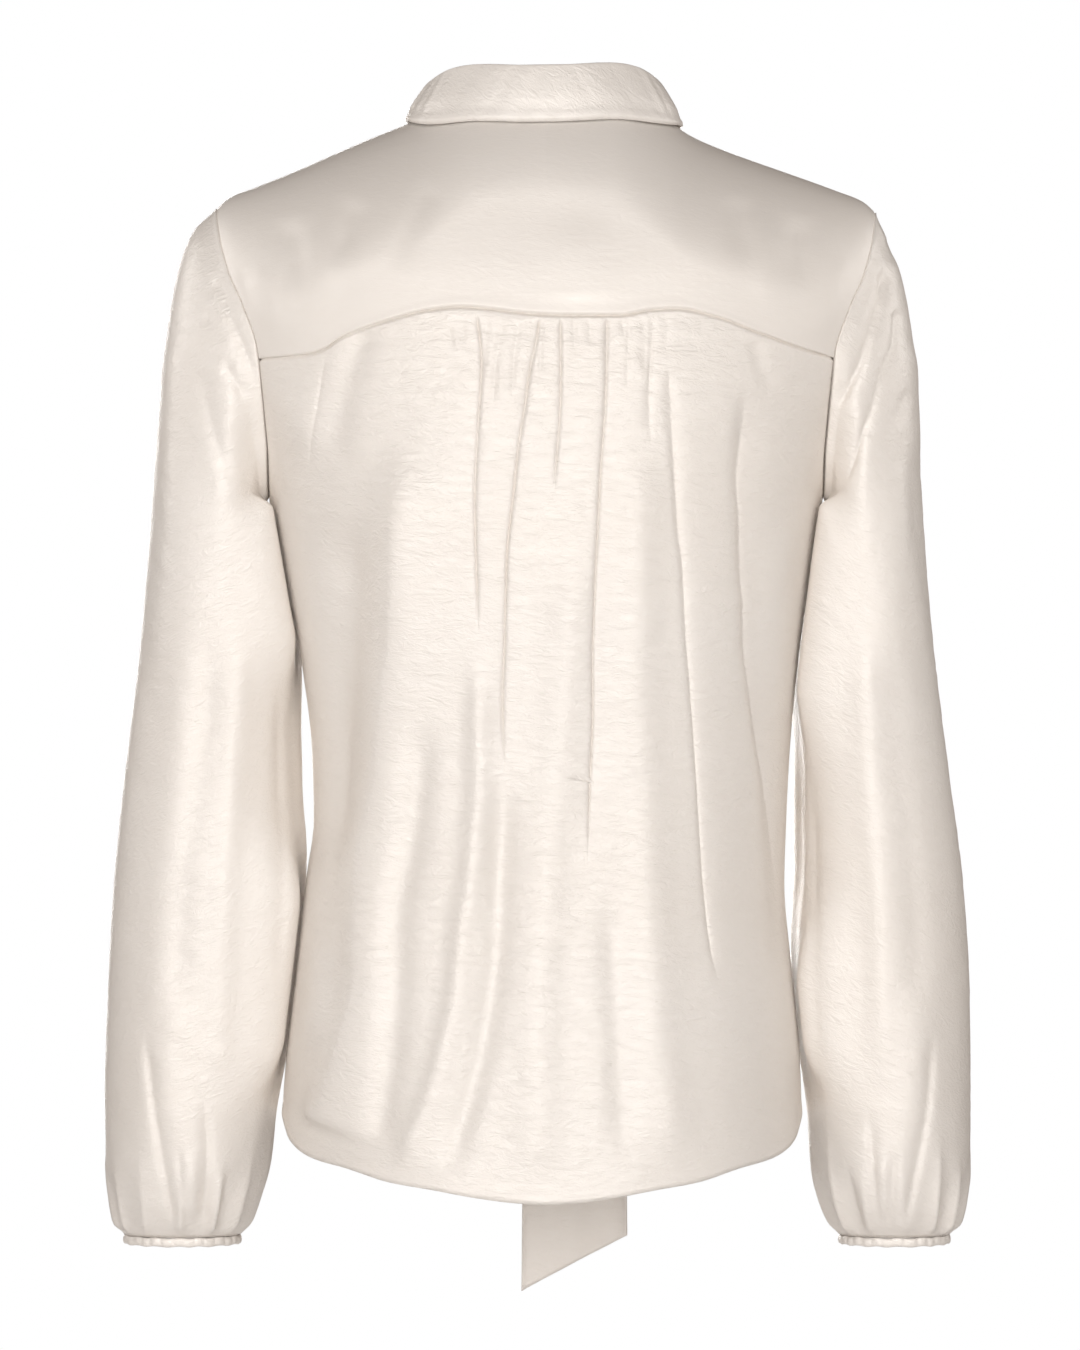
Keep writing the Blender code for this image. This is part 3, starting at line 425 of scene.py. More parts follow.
def noiseNode(tree, vector, scale, detail, rough=0.55, distortion=0.0):
    node = tree.nodes.new("ShaderNodeTexNoise")
    node.inputs["Detail"].default_value = detail
    node.inputs["Roughness"].default_value = rough
    node.inputs["Distortion"].default_value = distortion
    tree.links.new(vector, node.inputs["Vector"])
    if isinstance(scale, (int, float)):
        node.inputs["Scale"].default_value = scale
    else:
        tree.links.new(scale, node.inputs["Scale"])
    return node.outputs["Fac"]


def makeCrinkleGroup():
    # short creases across the grain, softer rumples under them, and the satin's fine ribs
    rumpleSize, ribsPerMetre = 34.0, 520.0
    tree, given, result = group(
        "satinCrinkle",
        [("Vector", "NodeSocketVector", None), ("Crease size", "NodeSocketFloat", 150.0),
         ("Crease depth", "NodeSocketFloat", 0.5), ("Rumple", "NodeSocketFloat", 0.5),
         ("Rib depth", "NodeSocketFloat", 0.05)],
        [("Height", "NodeSocketFloat")],
    )
    vector = given.outputs["Vector"]
    creases = noiseNode(tree, vector, given.outputs["Crease size"], 4.0, 0.62, 0.4)
    folded = mathNode(tree, "ABSOLUTE", mathNode(tree, "SUBTRACT", creases, 0.5))
    creased = mathNode(tree, "MULTIPLY", folded, given.outputs["Crease depth"])
    rumple = noiseNode(tree, vector, rumpleSize, 2.0)
    rumpled = mathNode(tree, "MULTIPLY", rumple, given.outputs["Rumple"])
    ribs = tree.nodes.new("ShaderNodeTexWave")
    ribs.bands_direction = "Z"
    ribs.inputs["Scale"].default_value = ribsPerMetre
    ribs.inputs["Distortion"].default_value = 3.0
    ribs.inputs["Detail"].default_value = 2.0
    tree.links.new(vector, ribs.inputs["Vector"])
    ribbed = mathNode(tree, "MULTIPLY", ribs.outputs["Fac"], given.outputs["Rib depth"])
    height = mathNode(tree, "ADD", mathNode(tree, "ADD", creased, rumpled), ribbed)
    tree.links.new(height, result.inputs["Height"])
    return tree


def makeToneGroup():
    # the ivory is never quite one colour: large soft patches, and slubs along the weave
    patchSize, slubSize = 9.0, 260.0
    tree, given, result = group(
        "ivoryTone",
        [("Vector", "NodeSocketVector", None), ("Light cloth", "NodeSocketColor", (0.8, 0.7, 0.6, 1)),
         ("Deep cloth", "NodeSocketColor", (0.7, 0.6, 0.5, 1)), ("Patches", "NodeSocketFloat", 0.6),
         ("Rough", "NodeSocketFloat", 0.4), ("Rough change", "NodeSocketFloat", 0.1)],
        [("Color", "NodeSocketColor"), ("Roughness", "NodeSocketFloat")],
    )
    vector = given.outputs["Vector"]
    patches = noiseNode(tree, vector, patchSize, 3.0)
    slubs = noiseNode(tree, vector, slubSize, 2.0, 0.5)
    broad, narrow = mathNode(tree, "MULTIPLY", patches, 0.75), mathNode(tree, "MULTIPLY", slubs, 0.25)
    amount = mathNode(tree, "ADD", broad, narrow)
    amount = mathNode(tree, "MULTIPLY", amount, given.outputs["Patches"])
    blend = tree.nodes.new("ShaderNodeMix")
    blend.data_type = "RGBA"
    tree.links.new(amount, blend.inputs["Factor"])
    tree.links.new(given.outputs["Light cloth"], blend.inputs[6])
    tree.links.new(given.outputs["Deep cloth"], blend.inputs[7])
    tree.links.new(blend.outputs[2], result.inputs["Color"])
    uneven = mathNode(tree, "SUBTRACT", slubs, 0.5)
    change = mathNode(tree, "MULTIPLY", uneven, given.outputs["Rough change"])
    tree.links.new(mathNode(tree, "ADD", given.outputs["Rough"], change), result.inputs["Roughness"])
    return tree


crinkleGroup, toneGroup = makeCrinkleGroup(), makeToneGroup()


def satinMaterial(name, look):
    material = bpy.data.materials.new(name)
    material.use_nodes = True
    tree = material.node_tree
    shader = tree.nodes["Principled BSDF"]
    shader.inputs["Specular IOR Level"].default_value = look["shine"]
    shader.inputs["IOR"].default_value = 1.5
    shader.inputs["Metallic"].default_value = look["lustre"]
    where = tree.nodes.new("ShaderNodeTexCoord")
    turn = tree.nodes.new("ShaderNodeMapping")
    turn.inputs["Rotation"].default_value = (0, math.radians(look["slant"]), 0)
    tree.links.new(where.outputs["Object"], turn.inputs["Vector"])
    stretch = tree.nodes.new("ShaderNodeMapping")
    stretch.inputs["Scale"].default_value = look["stretch"]
    tree.links.new(turn.outputs["Vector"], stretch.inputs["Vector"])
    crinkle = tree.nodes.new("ShaderNodeGroup")
    crinkle.node_tree = crinkleGroup
    crinkle.inputs["Crease size"].default_value = look["creaseSize"]
    crinkle.inputs["Crease depth"].default_value = look["creaseDepth"]
    crinkle.inputs["Rumple"].default_value = look["rumple"]
    crinkle.inputs["Rib depth"].default_value = look["ribDepth"]
    tree.links.new(stretch.outputs["Vector"], crinkle.inputs["Vector"])
    bump = tree.nodes.new("ShaderNodeBump")
    bump.inputs["Strength"].default_value = look["bump"]
    bump.inputs["Distance"].default_value = look["bumpHeight"]
    tree.links.new(crinkle.outputs["Height"], bump.inputs["Height"])
    tree.links.new(bump.outputs["Normal"], shader.inputs["Normal"])
    tone = tree.nodes.new("ShaderNodeGroup")
    tone.node_tree = toneGroup
    tone.inputs["Light cloth"].default_value = (*look["light"], 1)
    tone.inputs["Deep cloth"].default_value = (*look["deep"], 1)
    tone.inputs["Patches"].default_value = look["patches"]
    tone.inputs["Rough"].default_value = look["rough"]
    tone.inputs["Rough change"].default_value = look["roughChange"]
    tree.links.new(stretch.outputs["Vector"], tone.inputs["Vector"])
    tree.links.new(tone.outputs["Color"], shader.inputs["Base Color"])
    tree.links.new(tone.outputs["Roughness"], shader.inputs["Roughness"])
    return material


bodySatin = {
    "light": (0.892, 0.848, 0.802), "deep": (0.835, 0.765, 0.692), "patches": 0.7,
    "shine": 0.55, "lustre": 0.17, "rough": 0.48, "roughChange": 0.10,
    "slant": 4, "stretch": (0.34, 0.6, 1.0),  # the grain's turn in degrees, and its stretch
    "creaseSize": 210.0, "creaseDepth": 1.7, "rumple": 1.3, "ribDepth": 0.03,
    "bump": 0.8, "bumpHeight": 0.001,
}
yokeSatin = dict(bodySatin, creaseDepth=0.28, rumple=0.35)
sleeveSatin = dict(bodySatin, slant=-24, stretch=(0.42, 0.6, 1.0), creaseDepth=1.4)
sleeveSatinRight = dict(bodySatin, slant=24, stretch=(0.42, 0.6, 1.0), creaseDepth=1.4)
trimSatin = dict(bodySatin, slant=35, stretch=(0.5, 0.6, 1.0), creaseDepth=1.2, rumple=1.0)
tieSatin = dict(bodySatin, slant=2, creaseDepth=1.2)

satinBody = satinMaterial("satin_body", bodySatin)
satinYoke = satinMaterial("satin_yoke", yokeSatin)
satinSleeveLeft = satinMaterial("satin_sleeve_left", sleeveSatin)
satinSleeveRight = satinMaterial("satin_sleeve_right", sleeveSatinRight)
satinTrim = satinMaterial("satin_trim", trimSatin)
satinTie = satinMaterial("satin_tie", tieSatin)
print("materials made")

# Back panel
gatherLines = {  # drawn twice, soft and then thin
    "first": [(-43, 118), (-40, 146), (-42, 183), (-44, 220), (-44, 251), (-43, 282), (-42, 319)],
    "second": [(-4, 120), (-6, 134), (-10, 152), (-13, 174), (-17, 199), (-20, 227), (-24, 262),
               (-25, 289), (-26, 326), (-27, 356), (-26, 406)],
    "third": [(9, 120), (9, 170), (7, 202), (5, 226)],
    "fourth": [(38, 120), (37, 170), (34, 213), (32, 254), (30, 296), (29, 332), (29, 370),
               (27, 418), (26, 462)],
    "fifth": [(76, 149), (78, 188), (80, 217), (82, 251), (85, 274), (87, 313), (91, 363),
              (94, 407), (98, 468), (102, 505), (108, 536)],
    "sixth": [(124, 158), (122, 195), (120, 220), (122, 241), (123, 276), (125, 296), (126, 326),
              (133, 375), (138, 410), (143, 474), (145, 536)],
}
backPanel = {
    "columns": 258, "rows": 182, "thick": 0.0005, "underYoke": 0.003,
    "seamDip": 0.0016, "seamDipLength": 0.0018, "armholeDip": 0.0005, "seed": 11,
    "flat": (0.56, 0.60), "area": 0.27,
    "wrinkles": {"rise": 0.56, "long": 13.0, "short": 4.2, "slant": 3.0},
    "folds": [
        # gathers under the yoke seam
        (-0.8, 6, 1.4, 1.3, 3, 40, gatherLines["first"]),
        (-1.0, 3, 2, 1.3, 3, 14, [(-36, 119), (-38, 144), (-40, 159)]),
        (-1.1, 3, 2, 1.3, 3, 20, [(-26, 122), (-31, 148), (-33, 180)]),
        (-1.0, 3, 2, 1.3, 3, 16, [(-17, 122), (-20, 148), (-21, 172)]),
        (-1.0, 5, 1.4, 1.3, 3, 50, gatherLines["second"]),
        (-0.8, 2, 2, 1.3, 3, 12, [(-2, 120), (-3, 136), (-4, 158)]),
        (-0.6, 2.5, 1.5, 1.3, 3, 8, gatherLines["third"]),
        (-1.0, 2, 3, 1.3, 3, 14, [(17, 120), (18, 146)]),
        (-0.9, 2, 3, 1.3, 3, 14, [(27, 120), (27, 143)]),
        (-1.0, 1.4, 6, 1.3, 3, 60, gatherLines["fourth"]),
        (-1.2, 1.5, 2, 1.3, 2, 8, [(47, 120), (48, 132)]),
        (-0.7, 2, 2, 1.3, 3, 14, [(52, 120), (51, 140), (50, 166)]),
        (-0.9, 2, 2, 1.3, 3, 12, [(61, 120), (61, 156)]),
        (-1.1, 2, 2, 1.3, 3, 24, [(67, 120), (64, 161), (65, 202)]),
        (-0.7, 2, 2, 1.3, 3, 12, [(76, 120), (73, 141)]),
        (-0.7, 2, 2, 1.3, 3, 12, [(-52, 122), (-50, 140)]),
        (-0.6, 2, 2, 1.3, 3, 12, [(-60, 123), (-58, 141)]),
        (-1.5, 0.55, 0.55, 1, 3, 40, gatherLines["first"]),
        (-1.6, 0.55, 0.55, 1, 3, 50, gatherLines["second"]),
        (-1.6, 0.55, 0.55, 1, 3, 60, gatherLines["fourth"]),
        (-1.4, 0.55, 0.55, 1, 3, 20, gatherLines["third"]),
        (-0.8, 0.9, 0.9, 1, 20, 30, gatherLines["fifth"]),
        (-0.9, 0.9, 1.2, 1, 30, 45, gatherLines["sixth"]),
        # long folds to the hem, from the left of the picture to the right
        (-2.4, 8, 8, 2, 12, 30, [(-108, 124), (-120, 148), (-124, 164), (-129, 185), (-133, 214)]),
        (-0.8, 1.5, 1.5, 1.1, 6, 12, [(-136, 141), (-139, 155), (-142, 180), (-148, 216)]),
        (-8.0, 17, 14, 2, 45, 50, [(-124, 235), (-125, 295), (-129, 357), (-134, 419), (-139, 470)]),
        (8.5, 14, 26, 1.6, 50, 10, [(-87, 191), (-92, 245), (-93, 282), (-94, 319), (-98, 350),
         (-102, 406), (-110, 443), (-113, 468), (-115, 535), (-123, 567), (-130, 592), (-143, 623)]),
        (6.0, 13, 13, 2, 30, 24, [(-146, 490), (-145, 528), (-148, 580)]),
        (4.0, 12, 12, 2, 30, 30, [(-152, 150), (-152, 180), (-148, 214)]),
        (-2.0, 6, 6, 2, 20, 8, [(-148, 590), (-155, 628)]),
        (-3.8, 9, 9, 2, 50, 36, [(-75, 356), (-78, 394), (-83, 443), (-91, 485), (-92, 530), (-96, 580),
         (-103, 623), (-107, 645)]),
        (3.6, 7, 9, 2, 50, 26, [(-42, 319), (-42, 394), (-43, 426), (-48, 473), (-52, 498), (-55, 530),
         (-58, 550), (-71, 600), (-84, 631), (-90, 652)]),
        (-3.6, 8, 8, 2, 50, 40, [(-26, 394), (-27, 431), (-29, 481), (-31, 518), (-41, 580), (-53, 623),
         (-62, 656)]),
        (3.2, 14, 14, 2, 50, 36, [(21, 251), (16, 301), (11, 350), (7, 400), (1, 443), (-2, 493),
         (-5, 536), (-6, 617), (-7, 660)]),
        (-2.2, 9, 9, 2, 40, 50, [(41, 468), (42, 518), (45, 567), (47, 611), (48, 655)]),
        (2.6, 13, 13, 2, 40, 36, [(58, 195), (58, 270), (58, 350), (61, 394), (64, 456), (68, 518),
         (73, 580), (78, 617), (81, 650)]),
        (-1.5, 1.6, 5, 1.3, 20, 30, gatherLines["fifth"]),
        (-5.0, 4, 17, 1.5, 40, 45, gatherLines["sixth"]),
        (2.4, 9, 9, 2, 30, 20, [(150, 240), (146, 300), (148, 360)]),
        # small creases
        (-1.5, 5, 6, 1.6, 6, 14, [(128, 132), (134, 152), (144, 171)]),
        (-1.3, 1.2, 4, 1.2, 4, 5, [(140, 196), (148, 205), (156, 220)]),
        (-0.8, 2, 2, 1.3, 10, 10, [(0, 399), (27, 394), (58, 395), (89, 400)]),
        (-1.2, 2, 3, 1.3, 8, 6, [(113, 604), (130, 612), (152, 624)]),
    ],
}


turnedHem = {
    "deep": 0.0055, "rise": 0.00035, "edge": 0.0008,
    "stitchIn": 0.0012, "stitchWidth": 0.0005, "stitchDepth": 1.1,
}


def hemStep(fromEdge):
    # the turned hem is two more layers, with a groove where it is stitched
    look = turnedHem
    turned = ease(look["deep"], look["deep"] - look["edge"], fromEdge) * look["rise"]
    fromStitch = (fromEdge - look["deep"] + look["stitchIn"]) / look["stitchWidth"]
    return turned - np.exp(-(fromStitch**2)) * look["rise"] * look["stitchDepth"]


def backPanelPoints():
    look = backPanel
    closeRows = [0, 0, 0, 0, 0.0009, 0.0018, 0.003, 0.0046, 0.007]  # crowded at the yoke seam
    share = np.concatenate([closeRows, np.linspace(0.0105, 1, look["rows"] - len(closeRows))])[:, None]
    height = seamLeft[1] + (hemAtSide - seamLeft[1]) * share
    # the columns are spread as the camera sees them, then taken back to shares of the width
    leftSide, rightSide = panelEdge(height[:, 0], 1, 1) * 1000, panelEdge(height[:, 0], -1, 1) * 1000
    downs = -mix(-0.122, -0.652, share[:, 0]) * 1000
    right = crowdedColumns(look["columns"], rightSide, -leftSide, downs, look["folds"])
    s = np.where(right < 0, -right / leftSide[:, None], -right / rightSide[:, None])
    s, height = np.broadcast_arrays(s, height)
    ends = np.where(s > 0, seamLeft[0], -seamRight[0])
    topZ = seamHeight(s * ends) - 0.0004
    edge = np.where(s > 0, panelEdge(height, 1, 1), panelEdge(height, -1, 1))
    x = s * edge
    hem = hemBack(np.abs(s))
    z = mix(topZ, hem, share)
    tucked = np.array([1, 0.66, 0.33])[:, None] * look["underYoke"]
    z = np.concatenate([z[:3] + tucked, z[3:]])
    base, normal = atHeight(x, z, 1)
    right, down = seenFromCamera(base)
    fromEdge = (1 - np.abs(s)) * edge
    below = topZ - z
    still = ease(0.0, 0.022, fromEdge)
    lift = foldLift(right, down, look["folds"]) * still * ease(-0.001, 0.003, below)
    creases = wrinkles(right, down, look["seed"], **look["wrinkles"])
    lift += creases * ease(0, 0.012, fromEdge) * ease(0, 0.01, below)
    lift += hemStep(z - hem)
    lift -= look["seamDip"] * ease(look["seamDipLength"], 0.0, below)
    lift -= look["armholeDip"] * ease(0.0018, 0.0, fromEdge) * ease(underarm - 0.02, underarm + 0.02, z)
    points = base + normal * lift[..., None]
    points[..., 1] = np.maximum(points[..., 1], sideSeamGap)
    return points, normal


points, outward = backPanelPoints()
print("back panel", round(clothArea(points), 3), "m2 of cloth")
backPiece = clothFrom(
    "back_panel_cloth", points, outward, backPanel["thick"], satinBody, "back_panel"
)

# Back yoke
backYoke = {
    "columns": 300, "armholeColumns": 70, "rows": 78, "thick": 0.0008, "flat": (0.46, 0.25),
    "area": 0.078, "seed": 31, "seamRoll": 0.00015, "seamTurn": 0.0010, "armholeTurn": 0.0005,
    "turnWidth": 0.0013,
    "wrinkles": {"rise": 0.07, "long": 12.0, "short": 6.0, "slant": -35.0},
    "folds": [
        # soft shades that run in from the armholes and the shoulders
        (-1.7, 3, 4, 1.5, 10, 14, [(-191, 88), (-184, 115), (-176, 144)]),
        (0.7, 6, 8, 2, 14, 20, [(-180, 84), (-172, 112), (-166, 136)]),
        (-2.4, 9, 10, 2, 14, 26, [(-160, 56), (-156, 84), (-160, 108)]),
        (-1.8, 8, 9, 2, 12, 26, [(-118, 44), (-124, 66), (-136, 92)]),
        (-1.0, 7, 9, 2, 12, 24, [(-70, 34), (-84, 62), (-98, 92)]),
        (0.7, 10, 9, 2, 20, 24, [(-141, 58), (-138, 90), (-140, 124)]),
        (-1.5, 4, 3, 1.5, 10, 14, [(200, 92), (192, 116), (184, 146)]),
        (0.7, 8, 6, 2, 14, 20, [(186, 80), (178, 108), (172, 136)]),
        (-2.2, 10, 9, 2, 14, 26, [(158, 54), (156, 82), (160, 106)]),
        (-1.5, 9, 8, 2, 12, 26, [(118, 42), (120, 64), (128, 90)]),
        (0.7, 9, 10, 2, 20, 24, [(138, 54), (136, 88), (140, 122)]),
        (1.0, 18, 18, 2, 30, 20, [(20, 50), (22, 90), (24, 122)]),
    ],
}


def backYokePoints():
    look = backYoke
    arm = look["armholeColumns"]
    seamCount = look["columns"] - 2 * (arm - 1)
    rightX, rightReach = yokeArmhole(-1, arm)
    leftX, leftReach = yokeArmhole(1, arm)
    seamX = np.linspace(seamRight[0], seamLeft[0], seamCount)
    outerX = np.concatenate([rightX, seamX[1:-1], leftX[::-1]])
    outerReach = np.concatenate([rightReach, seamReach(seamX[1:-1]), leftReach[::-1]])
    count = len(outerX)
    fromSeamEnd = np.minimum(np.abs(np.arange(count) - arm), np.abs(np.arange(count) - count + arm))
    onSeam = np.zeros(count)
    onSeam[arm : count - arm] = 1
    along = np.interp(np.arange(count), [0, arm, count - arm, count - 1], [-1, -0.42, 0.42, 1])
    innerX, innerReach = neckline(along * seamNeck)
    t = (1 - (1 - np.linspace(0, 1, look["rows"])) ** 1.5)[:, None]
    x, reach = mix(innerX, outerX, t), mix(innerReach, outerReach, t)
    base, normal = torso(x, reach), torsoNormal(x, reach)
    right, down = seenFromCamera(base)
    toSeam = np.linalg.norm(base - base[-1], axis=-1)
    lift = foldLift(right, down, look["folds"]) * (reach > 0)
    lift += wrinkles(right, down, look["seed"], **look["wrinkles"]) * 0.8
    lift = lift * ease(0, 0.014, toSeam)
    roll = ease(0.007, 0.002, toSeam) * look["seamRoll"] * onSeam * ease(0, 5, fromSeamEnd)
    turn = look["seamTurn"] * onSeam + look["armholeTurn"] * (1 - onSeam)
    turnedIn = ease(look["turnWidth"], 0.0, toSeam) * turn * (t > 0.5)
    points = base + normal * (lift + roll - turnedIn)[..., None]
    return points, normal


points, outward = backYokePoints()
print("back yoke", round(clothArea(points), 3), "m2 of cloth")
yokePiece = clothFrom(
    "back_yoke_cloth", points, outward, backYoke["thick"], satinYoke, "back_yoke"
)

# Front, which the photo doesn't show
frontPanel = {
    "vColumns": 48, "seamColumns": 38, "rows": 150, "thick": 0.0006, "flat": (0.50, 0.64),
    "area": 0.29, "seed": 51, "topDip": 0.0011, "topDipLength": 0.0012,
    "wrinkles": {"rise": 0.40, "long": 13.0, "short": 5.0, "slant": -3.0},
    # these run in millimetres to the wearer's left and down
    "folds": [
        (5.0, 14, 14, 2, 60, 10, [(100, 150), (106, 300), (112, 420), (124, 540), (138, 640)]),
        (-4.4, 12, 12, 2, 50, 10, [(76, 140), (79, 300), (82, 420), (90, 540), (100, 640)]),
        (3.0, 12, 12, 2, 60, 10, [(50, 150), (53, 300), (56, 420), (61, 540), (68, 640)]),
        (-1.6, 2, 6, 1.4, 20, 60, [(36, 175), (40, 240), (40, 330), (44, 420)]),
        (-1.6, 5, 2, 1.4, 20, 60, [(-28, 190), (-34, 260), (-38, 330), (-40, 420)]),
        (3.0, 12, 12, 2, 60, 10, [(-58, 150), (-61, 300), (-65, 420), (-71, 540), (-78, 640)]),
        (-4.8, 12, 12, 2, 50, 10, [(-84, 140), (-88, 300), (-93, 420), (-102, 540), (-110, 640)]),
        (5.0, 14, 14, 2, 60, 10, [(-108, 150), (-114, 300), (-124, 420), (-136, 540), (-146, 640)]),
        (-2.6, 6, 6, 1.8, 10, 40, [(148, 110), (136, 150), (128, 200)]),
        (-2.6, 6, 6, 1.8, 10, 40, [(-150, 112), (-137, 155), (-130, 205)]),
        (-1.4, 3, 3, 1.4, 10, 30, [(152, 205), (132, 235), (118, 262)]),
        (-1.4, 3, 3, 1.4, 10, 30, [(-152, 205), (-134, 232), (-119, 258)]),
        (-1.2, 3, 3, 1.4, 10, 30, [(136, 400), (110, 412), (86, 408)]),
        (-1.2, 3, 3, 1.4, 10, 30, [(-138, 404), (-112, 414), (-88, 410)]),
    ],
}


def frontTop(vCount, seamCount):
    halves = []
    for side in (-1, 1):
        vX, vReach = neckline(side * np.linspace(seamNeck, 1, vCount))
        armX = yokeArmhole(side, 4)[0][0]
        seamX = np.linspace(armX, vX[0], seamCount)[:-1]
        seamReaches = np.full(seamCount - 1, -shoulderSeam)
        halves.append((np.concatenate([seamX, vX]), np.concatenate([seamReaches, vReach])))
    (rx, rr), (lx, lr) = halves
    return np.concatenate([rx, lx[-2::-1]]), np.concatenate([rr, lr[-2::-1]]) - 0.0005


def frontPanelPoints():
    look = frontPanel
    topX, topReach = frontTop(look["vColumns"], look["seamColumns"])
    top = torso(topX, topReach)
    topHeight = float(top[0, 2])
    topS = topX / np.where(topX > 0, topX[-1], -topX[0])
    u = np.linspace(-1, 1, len(topX))
    share = np.concatenate([[0, 0], np.linspace(0, 1, look["rows"])])[:, None]
    height = topHeight + (hemAtSide - topHeight) * share
    s = mix(topS[None, :], np.sin(u * math.pi / 2)[None, :], ease(0.0, 0.5, share) * 0.9)
    height = np.broadcast_to(height, s.shape)
    edge = np.where(s > 0, panelEdge(height, 1, -1), panelEdge(height, -1, -1))
    x = s * edge
    hem = hemFront(np.abs(s))
    z = mix(top[:, 2][None, :], hem, share)
    tuck = np.array([1, 0.5])[:, None] * 0.002
    z = np.concatenate([z[:2] + tuck, z[2:]])
    base, normal = atHeight(x, z, -1)
    left, down = base[..., 0] * 1000, -base[..., 2] * 1000
    fromEdge, below = (1 - np.abs(s)) * edge, top[:, 2][None, :] - z
    still = ease(0.0, 0.022, fromEdge) * ease(0.0, 0.06, below)
    lift = foldLift(left, down, look["folds"]) * still
    creases = wrinkles(left, down, look["seed"], **look["wrinkles"])
    lift += creases * ease(0, 0.012, fromEdge) * ease(0, 0.02, below)
    lift += hemStep(z - hem)
    lift -= look["topDip"] * ease(look["topDipLength"], 0.0, below)
    points = base + normal * lift[..., None]
    points[..., 1] = np.minimum(points[..., 1], -sideSeamGap)
    return points, normal


points, outward = frontPanelPoints()
print("front panel", round(clothArea(points), 3), "m2 of cloth")
frontPiece = clothFrom(
    "front_panel_cloth", points, outward, frontPanel["thick"], satinBody, "front_panel"
)

